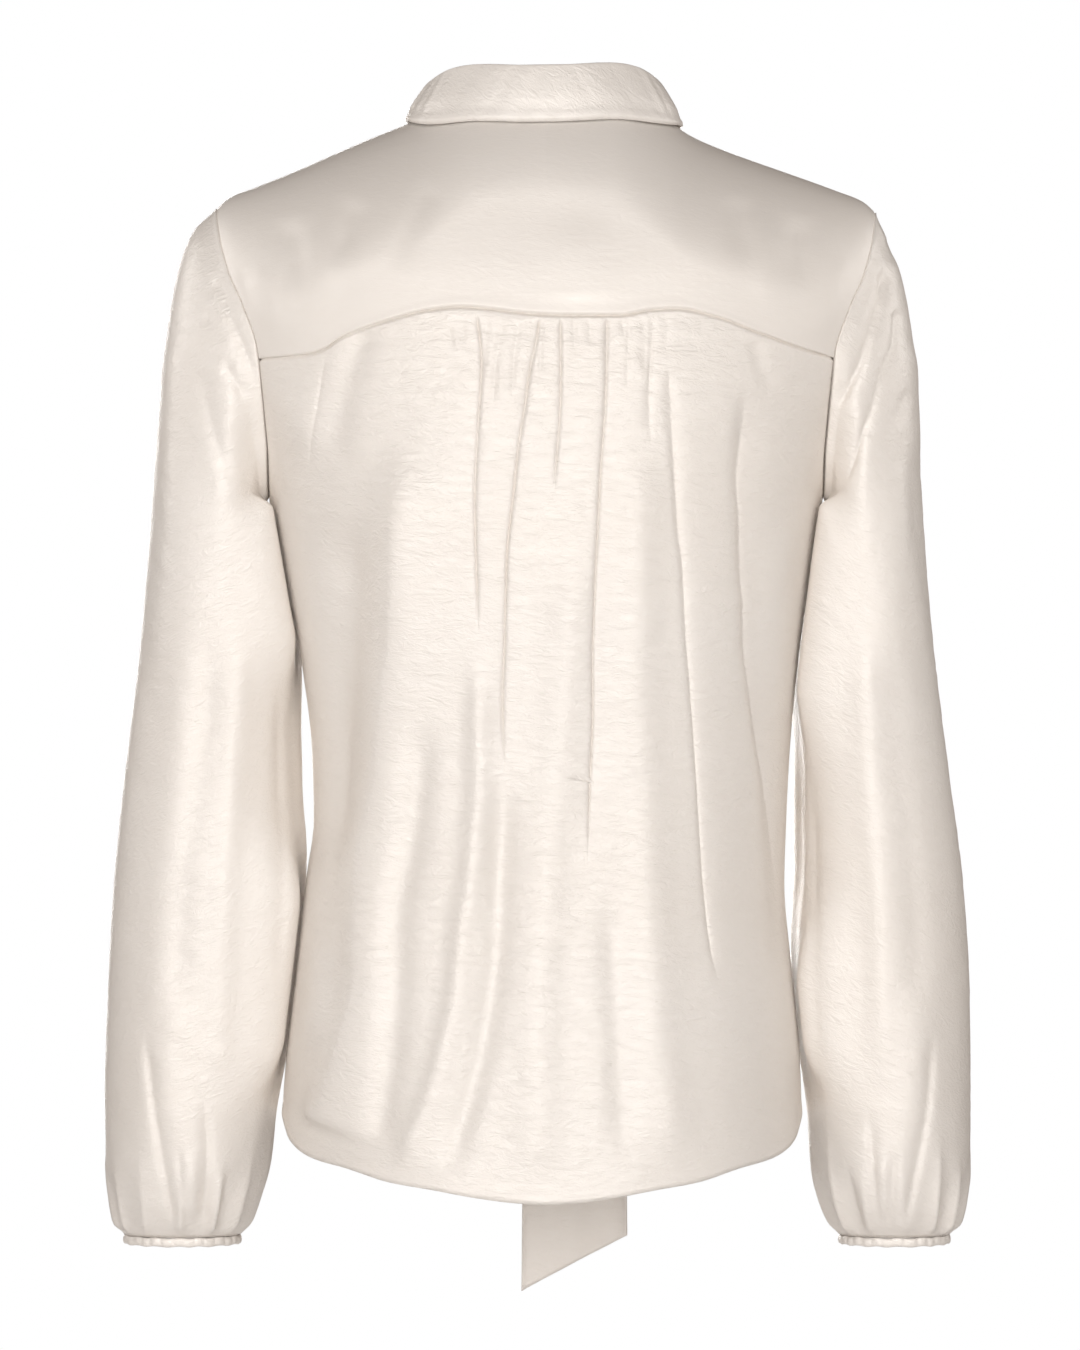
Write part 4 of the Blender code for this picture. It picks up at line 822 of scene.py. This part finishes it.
# Sleeves
capLines = {  # drawn twice, soft and then thin
    "left": [(-206, 92), (-196, 117), (-184, 146), (-174, 166)],
    "rightInner": [(210, 88), (209, 102), (203, 123), (196, 146), (188, 162), (180, 177)],
    "rightOuter": [(218, 113), (216, 138), (209, 154), (203, 175), (195, 195), (184, 226)],
}
sleeves = {
    "columns": 188, "rows": 190, "thick": 0.0006, "flat": (0.46, 0.62), "area": 0.235, "seed": 71,
    "capBlend": 0.30, "capSpan": (-80, 100), "capRise": {1: 0.0006, -1: 0.0009}, "capGathers": 9,
    "wristRise": 0.0034, "wristFolds": 13,
    "wrinkles": {"rise": 0.42, "long": 15.0, "short": 5.0, "slant": 22.0},
    # where the inner side lies along the body, with 1 the left sleeve and -1 the right one
    "contact": {
        "clear": 0.0026, "clearAtTop": 0.0008, "notPast": -0.022,
        "turn": (math.radians(98), math.radians(140)),  # how far round the sleeve it starts
        "top": 0.004, "topSoft": (0.044, 0.010), "topTurn": (math.radians(104), math.radians(132)),
        "upperEnd": {1: 0.44, -1: 0.52}, "upperSoft": 0.14,  # shares of the sleeve's length
        "lower": {1: -0.452, -1: -0.502}, "lowerSoft": (0.045, 0.035), "lowerEnd": (-0.622, -0.565),
    },
    # drawn as the camera sees the back of each sleeve
    "backFolds": {
        1: [
            (-3.2, 3, 5, 1.3, 8, 14, capLines["left"]),
            (-0.9, 0.9, 0.9, 1, 6, 10, capLines["left"]),
            (-1.6, 3, 3, 1.5, 4, 6, [(-213, 117), (-205, 123)]),
            (-1.9, 3, 4, 1.5, 6, 10, [(-201, 147), (-191, 162), (-186, 172)]),
            (-1.8, 5, 6, 1.6, 12, 20, [(-215, 150), (-210, 175), (-206, 191), (-200, 210), (-192, 224)]),
            (1.8, 8, 8, 2, 20, 40, [(-230, 130), (-232, 200), (-236, 290), (-242, 360)]),
            (-2.4, 9, 9, 2, 60, 40, [(-206, 300), (-216, 400), (-226, 480), (-228, 560)]),
            (2.2, 9, 9, 2, 60, 40, [(-188, 300), (-194, 400), (-200, 480), (-204, 600)]),
            (-2.0, 4, 5, 1.6, 50, 40, [(-164, 330), (-165, 400), (-163, 460), (-166, 540)]),
            (-2.6, 2, 5, 1.3, 26, 10, [(-248, 560), (-243, 610), (-236, 660), (-231, 684)]),
            (-2.4, 5, 2, 1.3, 30, 10, [(-212, 600), (-209, 640), (-211, 684)]),
            (-1.8, 2, 3, 1.3, 22, 8, [(-228, 628), (-226, 660), (-222, 685)]),
            (-1.8, 2, 4, 1.3, 22, 8, [(-196, 640), (-199, 665), (-203, 685)]),
            (1.8, 5, 5, 2, 20, 10, [(-220, 632), (-218, 662), (-217, 682)]),
        ],
        -1: [
            (-2.0, 3, 3, 1.4, 5, 10, [(202, 90), (196, 108), (192, 121)]),
            (-0.9, 0.9, 0.9, 1, 6, 10, capLines["rightInner"]),
            (-0.8, 0.9, 0.9, 1, 6, 14, capLines["rightOuter"]),
            (-3.2, 5, 3, 1.3, 8, 16, capLines["rightInner"]),
            (-2.2, 4, 4, 1.4, 6, 20, capLines["rightOuter"]),
            (-1.2, 4, 4, 1.6, 8, 14, [(224, 162), (215, 191)]),
            (-1.3, 3, 3, 1.5, 4, 8, [(212, 69), (216, 88)]),
            (1.8, 8, 8, 2, 20, 40, [(228, 130), (229, 200), (234, 290), (240, 350)]),
            (-2.0, 6, 8, 2, 30, 40, [(229, 189), (230, 240), (238, 302), (242, 344)]),
            (2.2, 9, 9, 2, 60, 40, [(196, 300), (200, 400), (206, 480), (208, 600)]),
            (-2.4, 9, 9, 2, 60, 40, [(214, 300), (220, 400), (228, 480), (230, 560)]),
            (-2.0, 5, 4, 1.6, 50, 40, [(164, 393), (166, 460), (166, 540), (170, 640)]),
            (-2.6, 5, 2, 1.3, 26, 10, [(240, 560), (236, 612), (228, 660), (222, 684)]),
            (-2.4, 2, 5, 1.3, 30, 10, [(200, 606), (202, 645), (206, 684)]),
            (-1.8, 3, 2, 1.3, 22, 8, [(216, 630), (215, 660), (213, 685)]),
            (-1.8, 4, 2, 1.3, 22, 8, [(186, 640), (190, 665), (196, 685)]),
            (1.8, 5, 5, 2, 20, 10, [(209, 632), (208, 662), (208, 682)]),
        ],
    },
    # degrees round the sleeve at the top and at the wrist, share where it starts and ends,
    # softness in degrees and rise, for the side that the photo doesn't show
    "frontFolds": [
        (-60, -72, 0.08, 0.95, 15, -0.0040), (-88, -98, 0.10, 0.95, 14, 0.0036),
        (-118, -112, 0.12, 0.80, 12, -0.0034), (-30, -44, 0.06, 0.50, 10, -0.0024),
        (-142, -136, 0.20, 0.95, 12, 0.0026), (168, 160, 0.25, 0.95, 12, -0.0024),
        (62, 74, 0.16, 0.92, 18, 0.0026),
    ],
}


def bodyWidthAt(y, z, side):
    half = (bodyLeft if side > 0 else bodyRight)(z)
    deep = np.where(y > 0, bodyBack(z), bodyFront(z))
    square = np.where(y > 0, 2.5, 2.2)
    return half * (1 - np.clip(np.abs(y) / deep, 0, 1) ** 2) ** (1 / square)


def sleeveHug(points, side, share, angle):
    # the inner side lies along the body from the underarm down
    look = sleeves["contact"]
    x, y, z = points[..., 0] * side, points[..., 1], points[..., 2]
    turn, top = np.abs(angle), underarm + look["top"]
    below = ease(top, top - mix(*look["topSoft"], ease(*look["topTurn"], turn)), z)
    width = bodyWidthAt(np.maximum(y, look["notPast"]), z, side)
    target = width + mix(look["clearAtTop"], look["clear"], below)
    low, again = look["upperEnd"][side], look["lower"][side]
    above, under = look["lowerSoft"]
    held = ease(low, low - look["upperSoft"], share)
    held = held + ease(again + above, again - under, z) * ease(*look["lowerEnd"], z)
    weight = ease(*look["turn"], turn) * np.minimum(held, 1) * below
    x = x - weight * np.maximum(x - target, 0)
    hugged = np.stack([side * x, y, z], axis=-1)
    return hugged, weight


def sleeveTube(side, share, angle, lift=0.0):
    share = np.asarray(share, float)
    c = sleeveCurves
    outer = np.stack([c[2 if side > 0 else 3](share), c[1](share)], axis=-1)
    inner = np.stack([c[5 if side > 0 else 6](share), c[4](share)], axis=-1)
    half = np.linalg.norm(outer - inner, axis=-1) / 2
    toward = (outer - inner) / (2 * half[..., None])
    middle = (outer + inner) / 2
    along = (half + lift) * np.cos(angle)
    x = side * (middle[..., 0] + along * toward[..., 0])
    y = c[7](share) + (c[8](share) + lift) * np.sin(angle)
    z = middle[..., 1] + along * toward[..., 1]
    return np.stack(np.broadcast_arrays(x, y, z), axis=-1)


def armholeLoop(side):
    # from the underarm up the front, over the shoulder and down the back
    overX, overReach = yokeArmhole(side, 120)
    over = torso(overX, overReach)
    frontZ = np.linspace(underarm, float(over[0, 2]), 60)[:-1]
    front = atHeight(side * panelEdge(frontZ, side, -1), frontZ, -1)[0]
    backZ = np.linspace((seamLeft if side > 0 else seamRight)[1], underarm, 50)[1:]
    back = atHeight(side * panelEdge(backZ, side, 1), backZ, 1)[0]
    front[0, 1] = back[-1, 1] = 0
    return np.concatenate([front, over, back])


def loopAngles(side, loop):
    top = sleeveShape[0]
    outer, inner = np.array([top[2], top[1]]), np.array([top[5], top[4]])
    half = np.linalg.norm(outer - inner) / 2
    flat = np.stack([side * loop[:, 0], loop[:, 2]], axis=-1) - (outer + inner) / 2
    angle = np.arctan2((loop[:, 1] - top[7]) / top[8], flat @ ((outer - inner) / (2 * half)) / half)
    angle[0], angle[-1] = -math.pi, math.pi
    return np.maximum.accumulate(angle)


def sleevePoints(side):
    look = sleeves
    loop = armholeLoop(side)
    angles = loopAngles(side, loop)
    away = loop - sleeveTube(side, 0.0, angles)
    angle = np.linspace(-math.pi, math.pi, look["columns"] + 1)[:-1][None, :]
    share = (np.linspace(0, 1, look["rows"]) ** 1.1)[:, None]
    degrees = np.degrees(angle)
    # gathers at the cap and at the wrist, each a little different
    low, high = look["capSpan"]
    across = (degrees - low) / (high - low)
    crowd = look["capGathers"] * across + 0.35 * np.sin(5 * across + side) + 0.2 * np.sin(13 * across)
    strength = 0.65 + 0.35 * np.sin(7.3 * across + 2 * side)
    cap = -np.abs(np.cos(math.pi * crowd)) ** 0.7 * strength * ease(0, 0.1, across) * ease(1, 0.9, across)
    cap = cap * ease(0, 0.02, share) * ease(0.10 + 0.05 * np.sin(9 * across), 0.02, share)
    count = look["wristFolds"]
    turn = count * angle + 0.6 * np.sin(2 * angle + side) + 0.4 * np.sin(5 * angle + 2)
    wrist = 1 - 1.9 * np.abs(np.cos(turn / 2 + 1.2)) ** 0.8
    wrist = wrist * (0.65 + 0.35 * np.sin(3 * angle + 1 + side))
    wrist = wrist * ease(0.86 + 0.03 * np.sin(4 * angle), 0.965, share) * ease(1.0, 0.978, share)
    inner = ease(-0.6, -1.0, np.cos(angle))  # calmer on the side next to the body
    lift = look["capRise"][side] * cap + look["wristRise"] * wrist * (1 - 0.5 * inner)
    for top, foot, starts, ends, soft, rise in look["frontFolds"]:
        gap = degrees - mix(top, foot, share)
        gap = (gap + 180) % 360 - 180
        gap = gap + 5 * np.sin(9 * share + top)
        present = ease(starts, starts + 0.14, share) * ease(ends, ends - 0.12, share)
        lift = lift + rise * present * np.exp(-((gap / soft) ** 2))
    tube = sleeveTube(side, share, angle)
    offset = np.stack([np.interp(angle[0], angles, away[:, i]) for i in range(3)], axis=-1)
    fade = 1 - ease(0, look["capBlend"], share)
    base = tube + offset[None, :, :] * fade[..., None]
    base, hugging = sleeveHug(base, side, share, angle)
    centre = base.mean(axis=1, keepdims=True)
    normal = gridNormals(base, True)
    normal = np.where(np.sum(normal * (base - centre), axis=-1, keepdims=True) < 0, -normal, normal)
    right, down = seenFromCamera(base)
    back = ease(-0.15, 0.25, np.sin(angle))
    lift = lift + foldLift(right, down, look["backFolds"][side]) * back * ease(0, 0.03, share)
    around = degrees * np.ones_like(share)
    w = dict(look["wrinkles"], slant=side * look["wrinkles"]["slant"])
    creases = wrinkles(around, down, look["seed"] + side, **w) * ease(0, 0.05, share) * ease(1, 0.97, share)
    lift = lift + creases * ease(math.pi, math.pi - 0.25, np.abs(angle))
    points = base + normal * (lift * (1 - 0.8 * hugging))[..., None]
    start = np.stack([np.interp(angle[0], angles, loop[:, i]) for i in range(3)], axis=-1)
    start[:, 0] += side * 0.0007
    points[0] = start
    points[1] = mix(points[1], start, 0.3)
    tucked = start + np.array([-side * 0.0016, 0, 0]) - normal[0] * 0.0012
    points = np.concatenate([tucked[None], points])
    return points, np.concatenate([normal[:1], normal])


for side, word, material in ((1, "left", satinSleeveLeft), (-1, "right", satinSleeveRight)):
    points, outward = sleevePoints(side)
    print(word, "sleeve", round(clothArea(points, True), 3), "m2 of cloth")
    piece = clothFrom(
        "sleeve_%s_cloth" % word, points, outward, sleeves["thick"], material,
        "sleeve_" + word, closed=True,
    )

# Cuffs, a narrow casing ruched by its elastic
cuffs = {
    "height": 0.0056, "ribs": 31, "rise": 0.0009, "thick": 0.0016, "columns": 248, "rows": 12,
    "flat": (0.21, 0.0105), "area": 0.00156, "rounding": 0.0009,
}


def cuffPoints(side):
    look = cuffs
    angle = np.linspace(-math.pi, math.pi, look["columns"] + 1)[:-1][None, :]
    down = np.linspace(0, 1, look["rows"])[:, None]
    turn = look["ribs"] * angle + 0.9 * np.sin(3 * angle + side) + 0.7 * np.sin(7 * angle)
    rib = look["rise"] * (np.abs(np.sin(turn / 2)) - 0.5) * (0.7 + 0.3 * np.sin(5 * angle + 2))
    rounded = -look["rounding"] * np.abs(2 * down - 1) ** 3
    points = sleeveTube(side, 1.0, angle, rib * (1 - 0.4 * np.abs(2 * down - 1)) + rounded)
    points[..., 2] -= 0.0004 + look["height"] * down + 0.0003 * np.sin(turn / 2)
    centre = points.mean(axis=(0, 1))
    outward = points - centre
    outward[..., 2] = 0
    return points, unit(outward)


for side, word in ((1, "left"), (-1, "right")):
    points, outward = cuffPoints(side)
    print(word, "cuff", round(clothArea(points, True), 4), "m2 of cloth")
    piece = clothFrom(
        "cuff_%s_cloth" % word, points, outward, cuffs["thick"], satinTrim,
        "cuff_" + word, closed=True,
    )

# Collar band: stand, rolled fold and fall
collar = {
    "stations": 330, "fold": 0.0022, "frontReach": 0.194, "overYoke": 0.0024, "thick": 0.0009,
    "flat": (0.62, 0.06), "area": 0.030, "twistRise": 0.0010, "pipe": 0.0008, "groove": 0.0004,
    # share of the way to the knot, fold out and up from the neckline, length of the fall
    "shape": [
        (0.00, -0.0010, 0.0290, 0.0100), (0.25, -0.0010, 0.0275, 0.0105),
        (0.40, -0.0010, 0.0215, 0.0110), (0.50, -0.0010, 0.0160, 0.0115),
        (0.62, -0.0010, 0.0120, 0.0150), (0.80, -0.0008, 0.0090, 0.0170),
        (1.00, -0.0005, 0.0080, 0.0080),
    ],
}


def evened(lines, reach=40, soft=15):  # each line, smoothed along its stations
    around = np.arange(-reach, reach + 1)
    weight = np.exp(-((around / soft) ** 2))
    padded = np.pad(lines, ((0, 0), (reach, reach), (0, 0)), mode="reflect", reflect_type="odd")
    count = lines.shape[1]
    return sum(w * padded[:, reach + r : reach + r + count] for r, w in zip(around, weight / weight.sum()))


def collarPoints():
    look = collar
    end = 0.5 + 0.5 * look["frontReach"] / neck["vReach"]
    along = np.linspace(-1, 1, look["stations"]) * end
    x, reach = neckline(along)
    edge, normal = torso(x, reach), torsoNormal(x, reach)
    path = unit(np.gradient(edge, axis=0))
    share = np.abs(along) / end
    up = mix(np.array([0.0, 0.0, 1.0]), normal, ease(0.55, 0.85, share)[:, None])
    up = unit(up - path * np.sum(up * path, axis=-1, keepdims=True))
    out = unit(np.cross(path, up))
    out = -out if out[len(x) // 2, 1] < 0 else out
    flatPath = np.stack([np.gradient(x), np.gradient(reach)], axis=-1)
    flatOut = unit(np.stack([flatPath[:, 1], -flatPath[:, 0]], axis=-1))
    flatOut = -flatOut if flatOut[len(x) // 2, 1] < 0 else flatOut
    foldOut, foldUp, fall = (curveOf(look["shape"], i)(share) for i in (1, 2, 3))
    fallX, fallReach = x + flatOut[:, 0] * fall, reach + flatOut[:, 1] * fall
    fallEdge = torso(fallX, fallReach) + torsoNormal(fallX, fallReach) * look["overYoke"]

    def section(outward, upward):
        return edge + out * np.asarray(outward)[:, None] + up * np.asarray(upward)[:, None]

    stand = section(np.full(len(x), -0.0017), np.zeros(len(x)))
    lines, radius = [stand], look["fold"]
    fold = []
    for degreesRound in (180, 125, 70, 15):
        turn = math.radians(degreesRound)
        fold.append(section(foldOut + radius * math.cos(turn), foldUp - radius + radius * math.sin(turn)))
    lines += [mix(stand, fold[0], 0.5), *fold, mix(fold[-1], fallEdge, 0.5) + out * 0.0012, fallEdge]
    keys = np.array(lines)  # line, station, xyz
    once = evened(keys)
    even = 2 * once - evened(once)  # the second pass gives back the height that the first one took
    fromEnds = 1 - np.abs(np.linspace(-1, 1, keys.shape[1]))
    smoothed = mix(keys, even, ease(0.0, 0.12, fromEnds)[None, :, None])
    keys = np.concatenate([keys[:1], smoothed[1:]])
    dense = []
    for station in range(keys.shape[1]):
        dense.append(smoothLine(keys[:, station], 5))
    points = np.array(dense).transpose(1, 0, 2)
    outward = gridNormals(points)
    if outward[-8, points.shape[1] // 2, 1] < 0:
        outward = -outward
    # folds that slant across the band where it is pulled to the knot, and a rolled lower edge
    rowShare = np.linspace(0, 1, points.shape[0])[:, None]
    length = along[None, :] * 330
    side = np.sign(along)[None, :]
    slanted = softNoise(length / 9 - side * rowShare * 7.0, rowShare * 1.2 + 3, 91)
    near = 0.25 + 0.75 * ease(0.2, 0.46, np.abs(along))[None, :]
    outside = ease(0.62, 0.76, rowShare) * ease(0.97, 0.90, rowShare)
    lift = look["twistRise"] * slanted * near * outside
    uneven = 1 + 0.15 * softNoise(length / 6, rowShare * 0, 92)
    lift = lift + look["pipe"] * np.exp(-(((rowShare - 0.972) / 0.022) ** 2)) * uneven
    lift = lift - look["groove"] * np.exp(-(((rowShare - 0.925) / 0.014) ** 2))
    return points + outward * lift[..., None], outward


points, outward = collarPoints()
print("collar band", round(clothArea(points), 4), "m2 of cloth")
collarPiece = clothFrom(
    "neck_band_cloth", points, outward, collar["thick"], satinTrim, "neck_band"
)

# Tie ends and the knot
ties = {
    "top": -0.1352, "overFront": 0.0050, "slant": 0.036, "thick": 0.0014, "columns": 61,
    "pleat": 0.0016,
    "long": {
        "tip": -0.7350, "slants": 1, "rows": 250, "flat": (0.075, 0.62), "area": 0.0335,
        "shape": [
            (0.00, -0.0085, 0.0075, 0.0000), (0.05, -0.0110, 0.0120, 0.0016),
            (0.20, -0.0150, 0.0210, 0.0022), (0.50, -0.0170, 0.0280, 0.0018),
            (0.80, -0.0178, 0.0320, 0.0010), (1.00, -0.0178, 0.0332, 0.0004),
        ],
    },
    "short": {
        "tip": -0.5700, "slants": -1, "rows": 190, "flat": (0.075, 0.45), "area": 0.025,
        "shape": [
            (0.00, 0.0075, 0.0070, 0.0000), (0.05, 0.0150, 0.0115, 0.0016),
            (0.20, 0.0290, 0.0200, 0.0022), (0.50, 0.0420, 0.0270, 0.0018),
            (0.80, 0.0490, 0.0315, 0.0010), (1.00, 0.0510, 0.0330, 0.0004),
        ],
    },
}
cadFrontFolds = [  # what the solid front rises to under the ties, so that they lie clear of it
    (0.100, 0.112, 0.138, -0.16, 0.018, 0.0055), (0.050, 0.055, 0.068, -0.15, 0.016, 0.0030),
    (-0.058, -0.064, -0.078, -0.15, 0.016, 0.0030), (-0.108, -0.122, -0.146, -0.16, 0.018, 0.0055),
]


def tiePoints(look, seed):
    across = np.linspace(-1, 1, ties["columns"])[None, :]
    share = np.linspace(0, 1, look["rows"])[:, None]
    middle, half, ripple = (curveOf(look["shape"], i)(share) for i in (1, 2, 3))
    x = middle + half * across
    foot = mix(look["tip"], look["tip"] + ties["slant"], (1 - look["slants"] * across) / 2)
    z = mix(ties["top"], foot, share)
    base, normal = atHeight(x, z, -1)
    rise = np.zeros(x.shape)
    for top, mid, low, starts, soft, up in cadFrontFolds:
        line = smoothThrough([-0.66, -0.39, -0.12], [low, mid, top], z)
        rise += up * ease(starts + 0.005, starts - 0.07, z) * np.exp(-(((x - line) / soft) ** 2))
    lift = ties["overFront"] + ripple * (1 + np.cos(2.5 * math.pi * across)) + rise
    # pleats that fan out from the knot and fade, then a few soft rumples
    nearKnot = ease(0.42, 0.02, share)
    pleats = np.abs(np.sin(math.pi * 3.5 * across + 0.6 * np.sin(4 * share + seed))) * nearKnot
    lift = lift - ties["pleat"] * (1 - pleats) * nearKnot * (1 - np.abs(across)) ** 0.3
    lift = lift + wrinkles(x * 1000, z * -1000, seed, 16.0, 8.0, 8.0, 0.5) * ease(0, 0.1, share)
    edge = ease(1.0, 0.93, np.abs(across))
    lift = lift - 0.0004 * (1 - edge)
    return base + normal * lift[..., None], normal


for word, node, seed in (("long", "tie_end_right", 111), ("short", "tie_end_left", 121)):
    points, outward = tiePoints(ties[word], seed)
    print(word, "tie end", round(clothArea(points), 4), "m2 of cloth")
    piece = clothFrom(node + "_cloth", points, outward, ties["thick"], satinTie, node)
    look = ties[word]

knot = {
    "middle": (-0.001, -0.1260, -0.1190), "size": (0.0178, 0.0098, 0.0143),
    "pleat": 0.075, "around": 96, "down": 64,  # the pleats' depth is a share of the size
}


def knotPoints():
    turn = np.linspace(-math.pi, math.pi, knot["around"] + 1)[:-1][None, :]
    tilt = np.linspace(-math.pi / 2 + 0.02, math.pi / 2 - 0.02, knot["down"])[:, None]
    # the poles lie left and right, where the pleats of the wrap run together
    x, y, z = np.broadcast_arrays(np.sin(tilt), np.cos(tilt) * np.cos(turn), np.cos(tilt) * np.sin(turn))
    squarer = (np.abs(x) ** 3 + np.abs(y) ** 3 + np.abs(z) ** 3) ** (-1 / 3)
    pleats = np.abs(np.cos(5.5 * turn + 1.6 * x + 0.5 * np.sin(3 * turn))) ** 0.6
    waist = 1 - 0.06 * np.exp(-(((x - 0.1) / 0.5) ** 2))
    size = squarer * (1 - knot["pleat"] * (1 - pleats)) * waist
    wide, deep, high = knot["size"]
    shape = np.stack([x * wide, y * deep, z * high], axis=-1) * size[..., None]
    return shape + np.array(knot["middle"])


points = knotPoints()
rows, columns = points.shape[:2]
index = np.arange(rows * columns).reshape(rows, columns)
onward = np.roll(index, -1, 1)
quads = np.stack([index[:-1], onward[:-1], onward[1:], index[1:]], axis=-1).reshape(-1, 4).tolist()
quads += [index[0][::-1].tolist(), index[-1].tolist()]
knotPiece = pieceFrom(
    "tie_knot_wrap", points.reshape(-1, 3).tolist(), quads, satinTie, "tie_knot"
)
bm = bmesh.new()
bm.from_mesh(knotPiece.data)
bmesh.ops.recalc_face_normals(bm, faces=bm.faces)
bm.to_mesh(knotPiece.data)
bm.free()
print("tie and knot made")

# Studio
camera = bpy.data.objects.new("photo_camera", bpy.data.cameras.new("photo_camera"))
camera.location = photoCamera["place"]
camera.rotation_euler = (math.radians(90), 0, math.radians(180))
camera.data.sensor_fit = "VERTICAL"
camera.data.sensor_height = photoCamera["sensor"]
camera.data.lens = photoCamera["sensor"] * photoCamera["place"][1] / photoCamera["tall"]
camera.data.clip_end = 50
scene.collection.objects.link(camera)
scene.camera = camera

half, low = studio["floorHalf"], studio["floorHeight"]
floorMesh = bpy.data.meshes.new("floor")
floorCorners = [(-half, -half, low), (half, -half, low), (half, half, low), (-half, half, low)]
floorMesh.from_pydata(floorCorners, [], [(0, 1, 2, 3)])
floor = bpy.data.objects.new("floor", floorMesh)
scene.collection.objects.link(floor)
floorPaint = bpy.data.materials.new("pale_floor")
floorPaint.use_nodes = True
floorShader = floorPaint.node_tree.nodes["Principled BSDF"]
floorShader.inputs["Base Color"].default_value = (*studio["floorColour"], 1)
floorShader.inputs["Roughness"].default_value = studio["floorRough"]
floorMesh.materials.append(floorPaint)

for name, look in softBoxes.items():
    light = bpy.data.objects.new(name, bpy.data.lights.new(name, "AREA"))
    light.data.shape = "RECTANGLE"
    light.data.size, light.data.size_y = look["size"]
    light.data.energy = look["watts"]
    light.location = look["place"]
    aim = np.array(look["aim"]) - np.array(look["place"])
    tilt, turn = math.atan2(math.hypot(aim[0], aim[1]), -aim[2]), math.atan2(aim[1], aim[0])
    light.rotation_euler = (tilt, 0, turn - math.pi / 2)
    scene.collection.objects.link(light)

# The room is white to the eye, but dimmer overhead as a light on the cloth
world = bpy.data.worlds.new("studio")
scene.world = world
world.use_nodes = True
tree = world.node_tree
tree.nodes.clear()
out = tree.nodes.new("ShaderNodeOutputWorld")
room, paper = tree.nodes.new("ShaderNodeBackground"), tree.nodes.new("ShaderNodeBackground")
paper.inputs["Color"].default_value = (1, 1, 1, 1)
where, split = tree.nodes.new("ShaderNodeTexCoord"), tree.nodes.new("ShaderNodeSeparateXYZ")
ramp = tree.nodes.new("ShaderNodeValToRGB")
tree.links.new(where.outputs["Generated"], split.inputs[0])
lifted = mathNode(tree, "MULTIPLY", mathNode(tree, "ADD", split.outputs["Z"], 1.0), 0.5)
tree.links.new(lifted, ramp.inputs["Fac"])
stops = [(0.0, studio["below"]), (0.5, studio["sides"]), (0.72, studio["above"]), (1.0, studio["above"])]
for number, (place, bright) in enumerate(stops):
    stop = ramp.color_ramp.elements[number] if number < 2 else ramp.color_ramp.elements.new(place)
    stop.position = place
    stop.color = (*bright, 1)
tree.links.new(ramp.outputs["Color"], room.inputs["Color"])
seen, choose = tree.nodes.new("ShaderNodeLightPath"), tree.nodes.new("ShaderNodeMixShader")
tree.links.new(seen.outputs["Is Camera Ray"], choose.inputs[0])
tree.links.new(room.outputs[0], choose.inputs[1])
tree.links.new(paper.outputs[0], choose.inputs[2])
tree.links.new(choose.outputs[0], out.inputs["Surface"])
print("studio made")
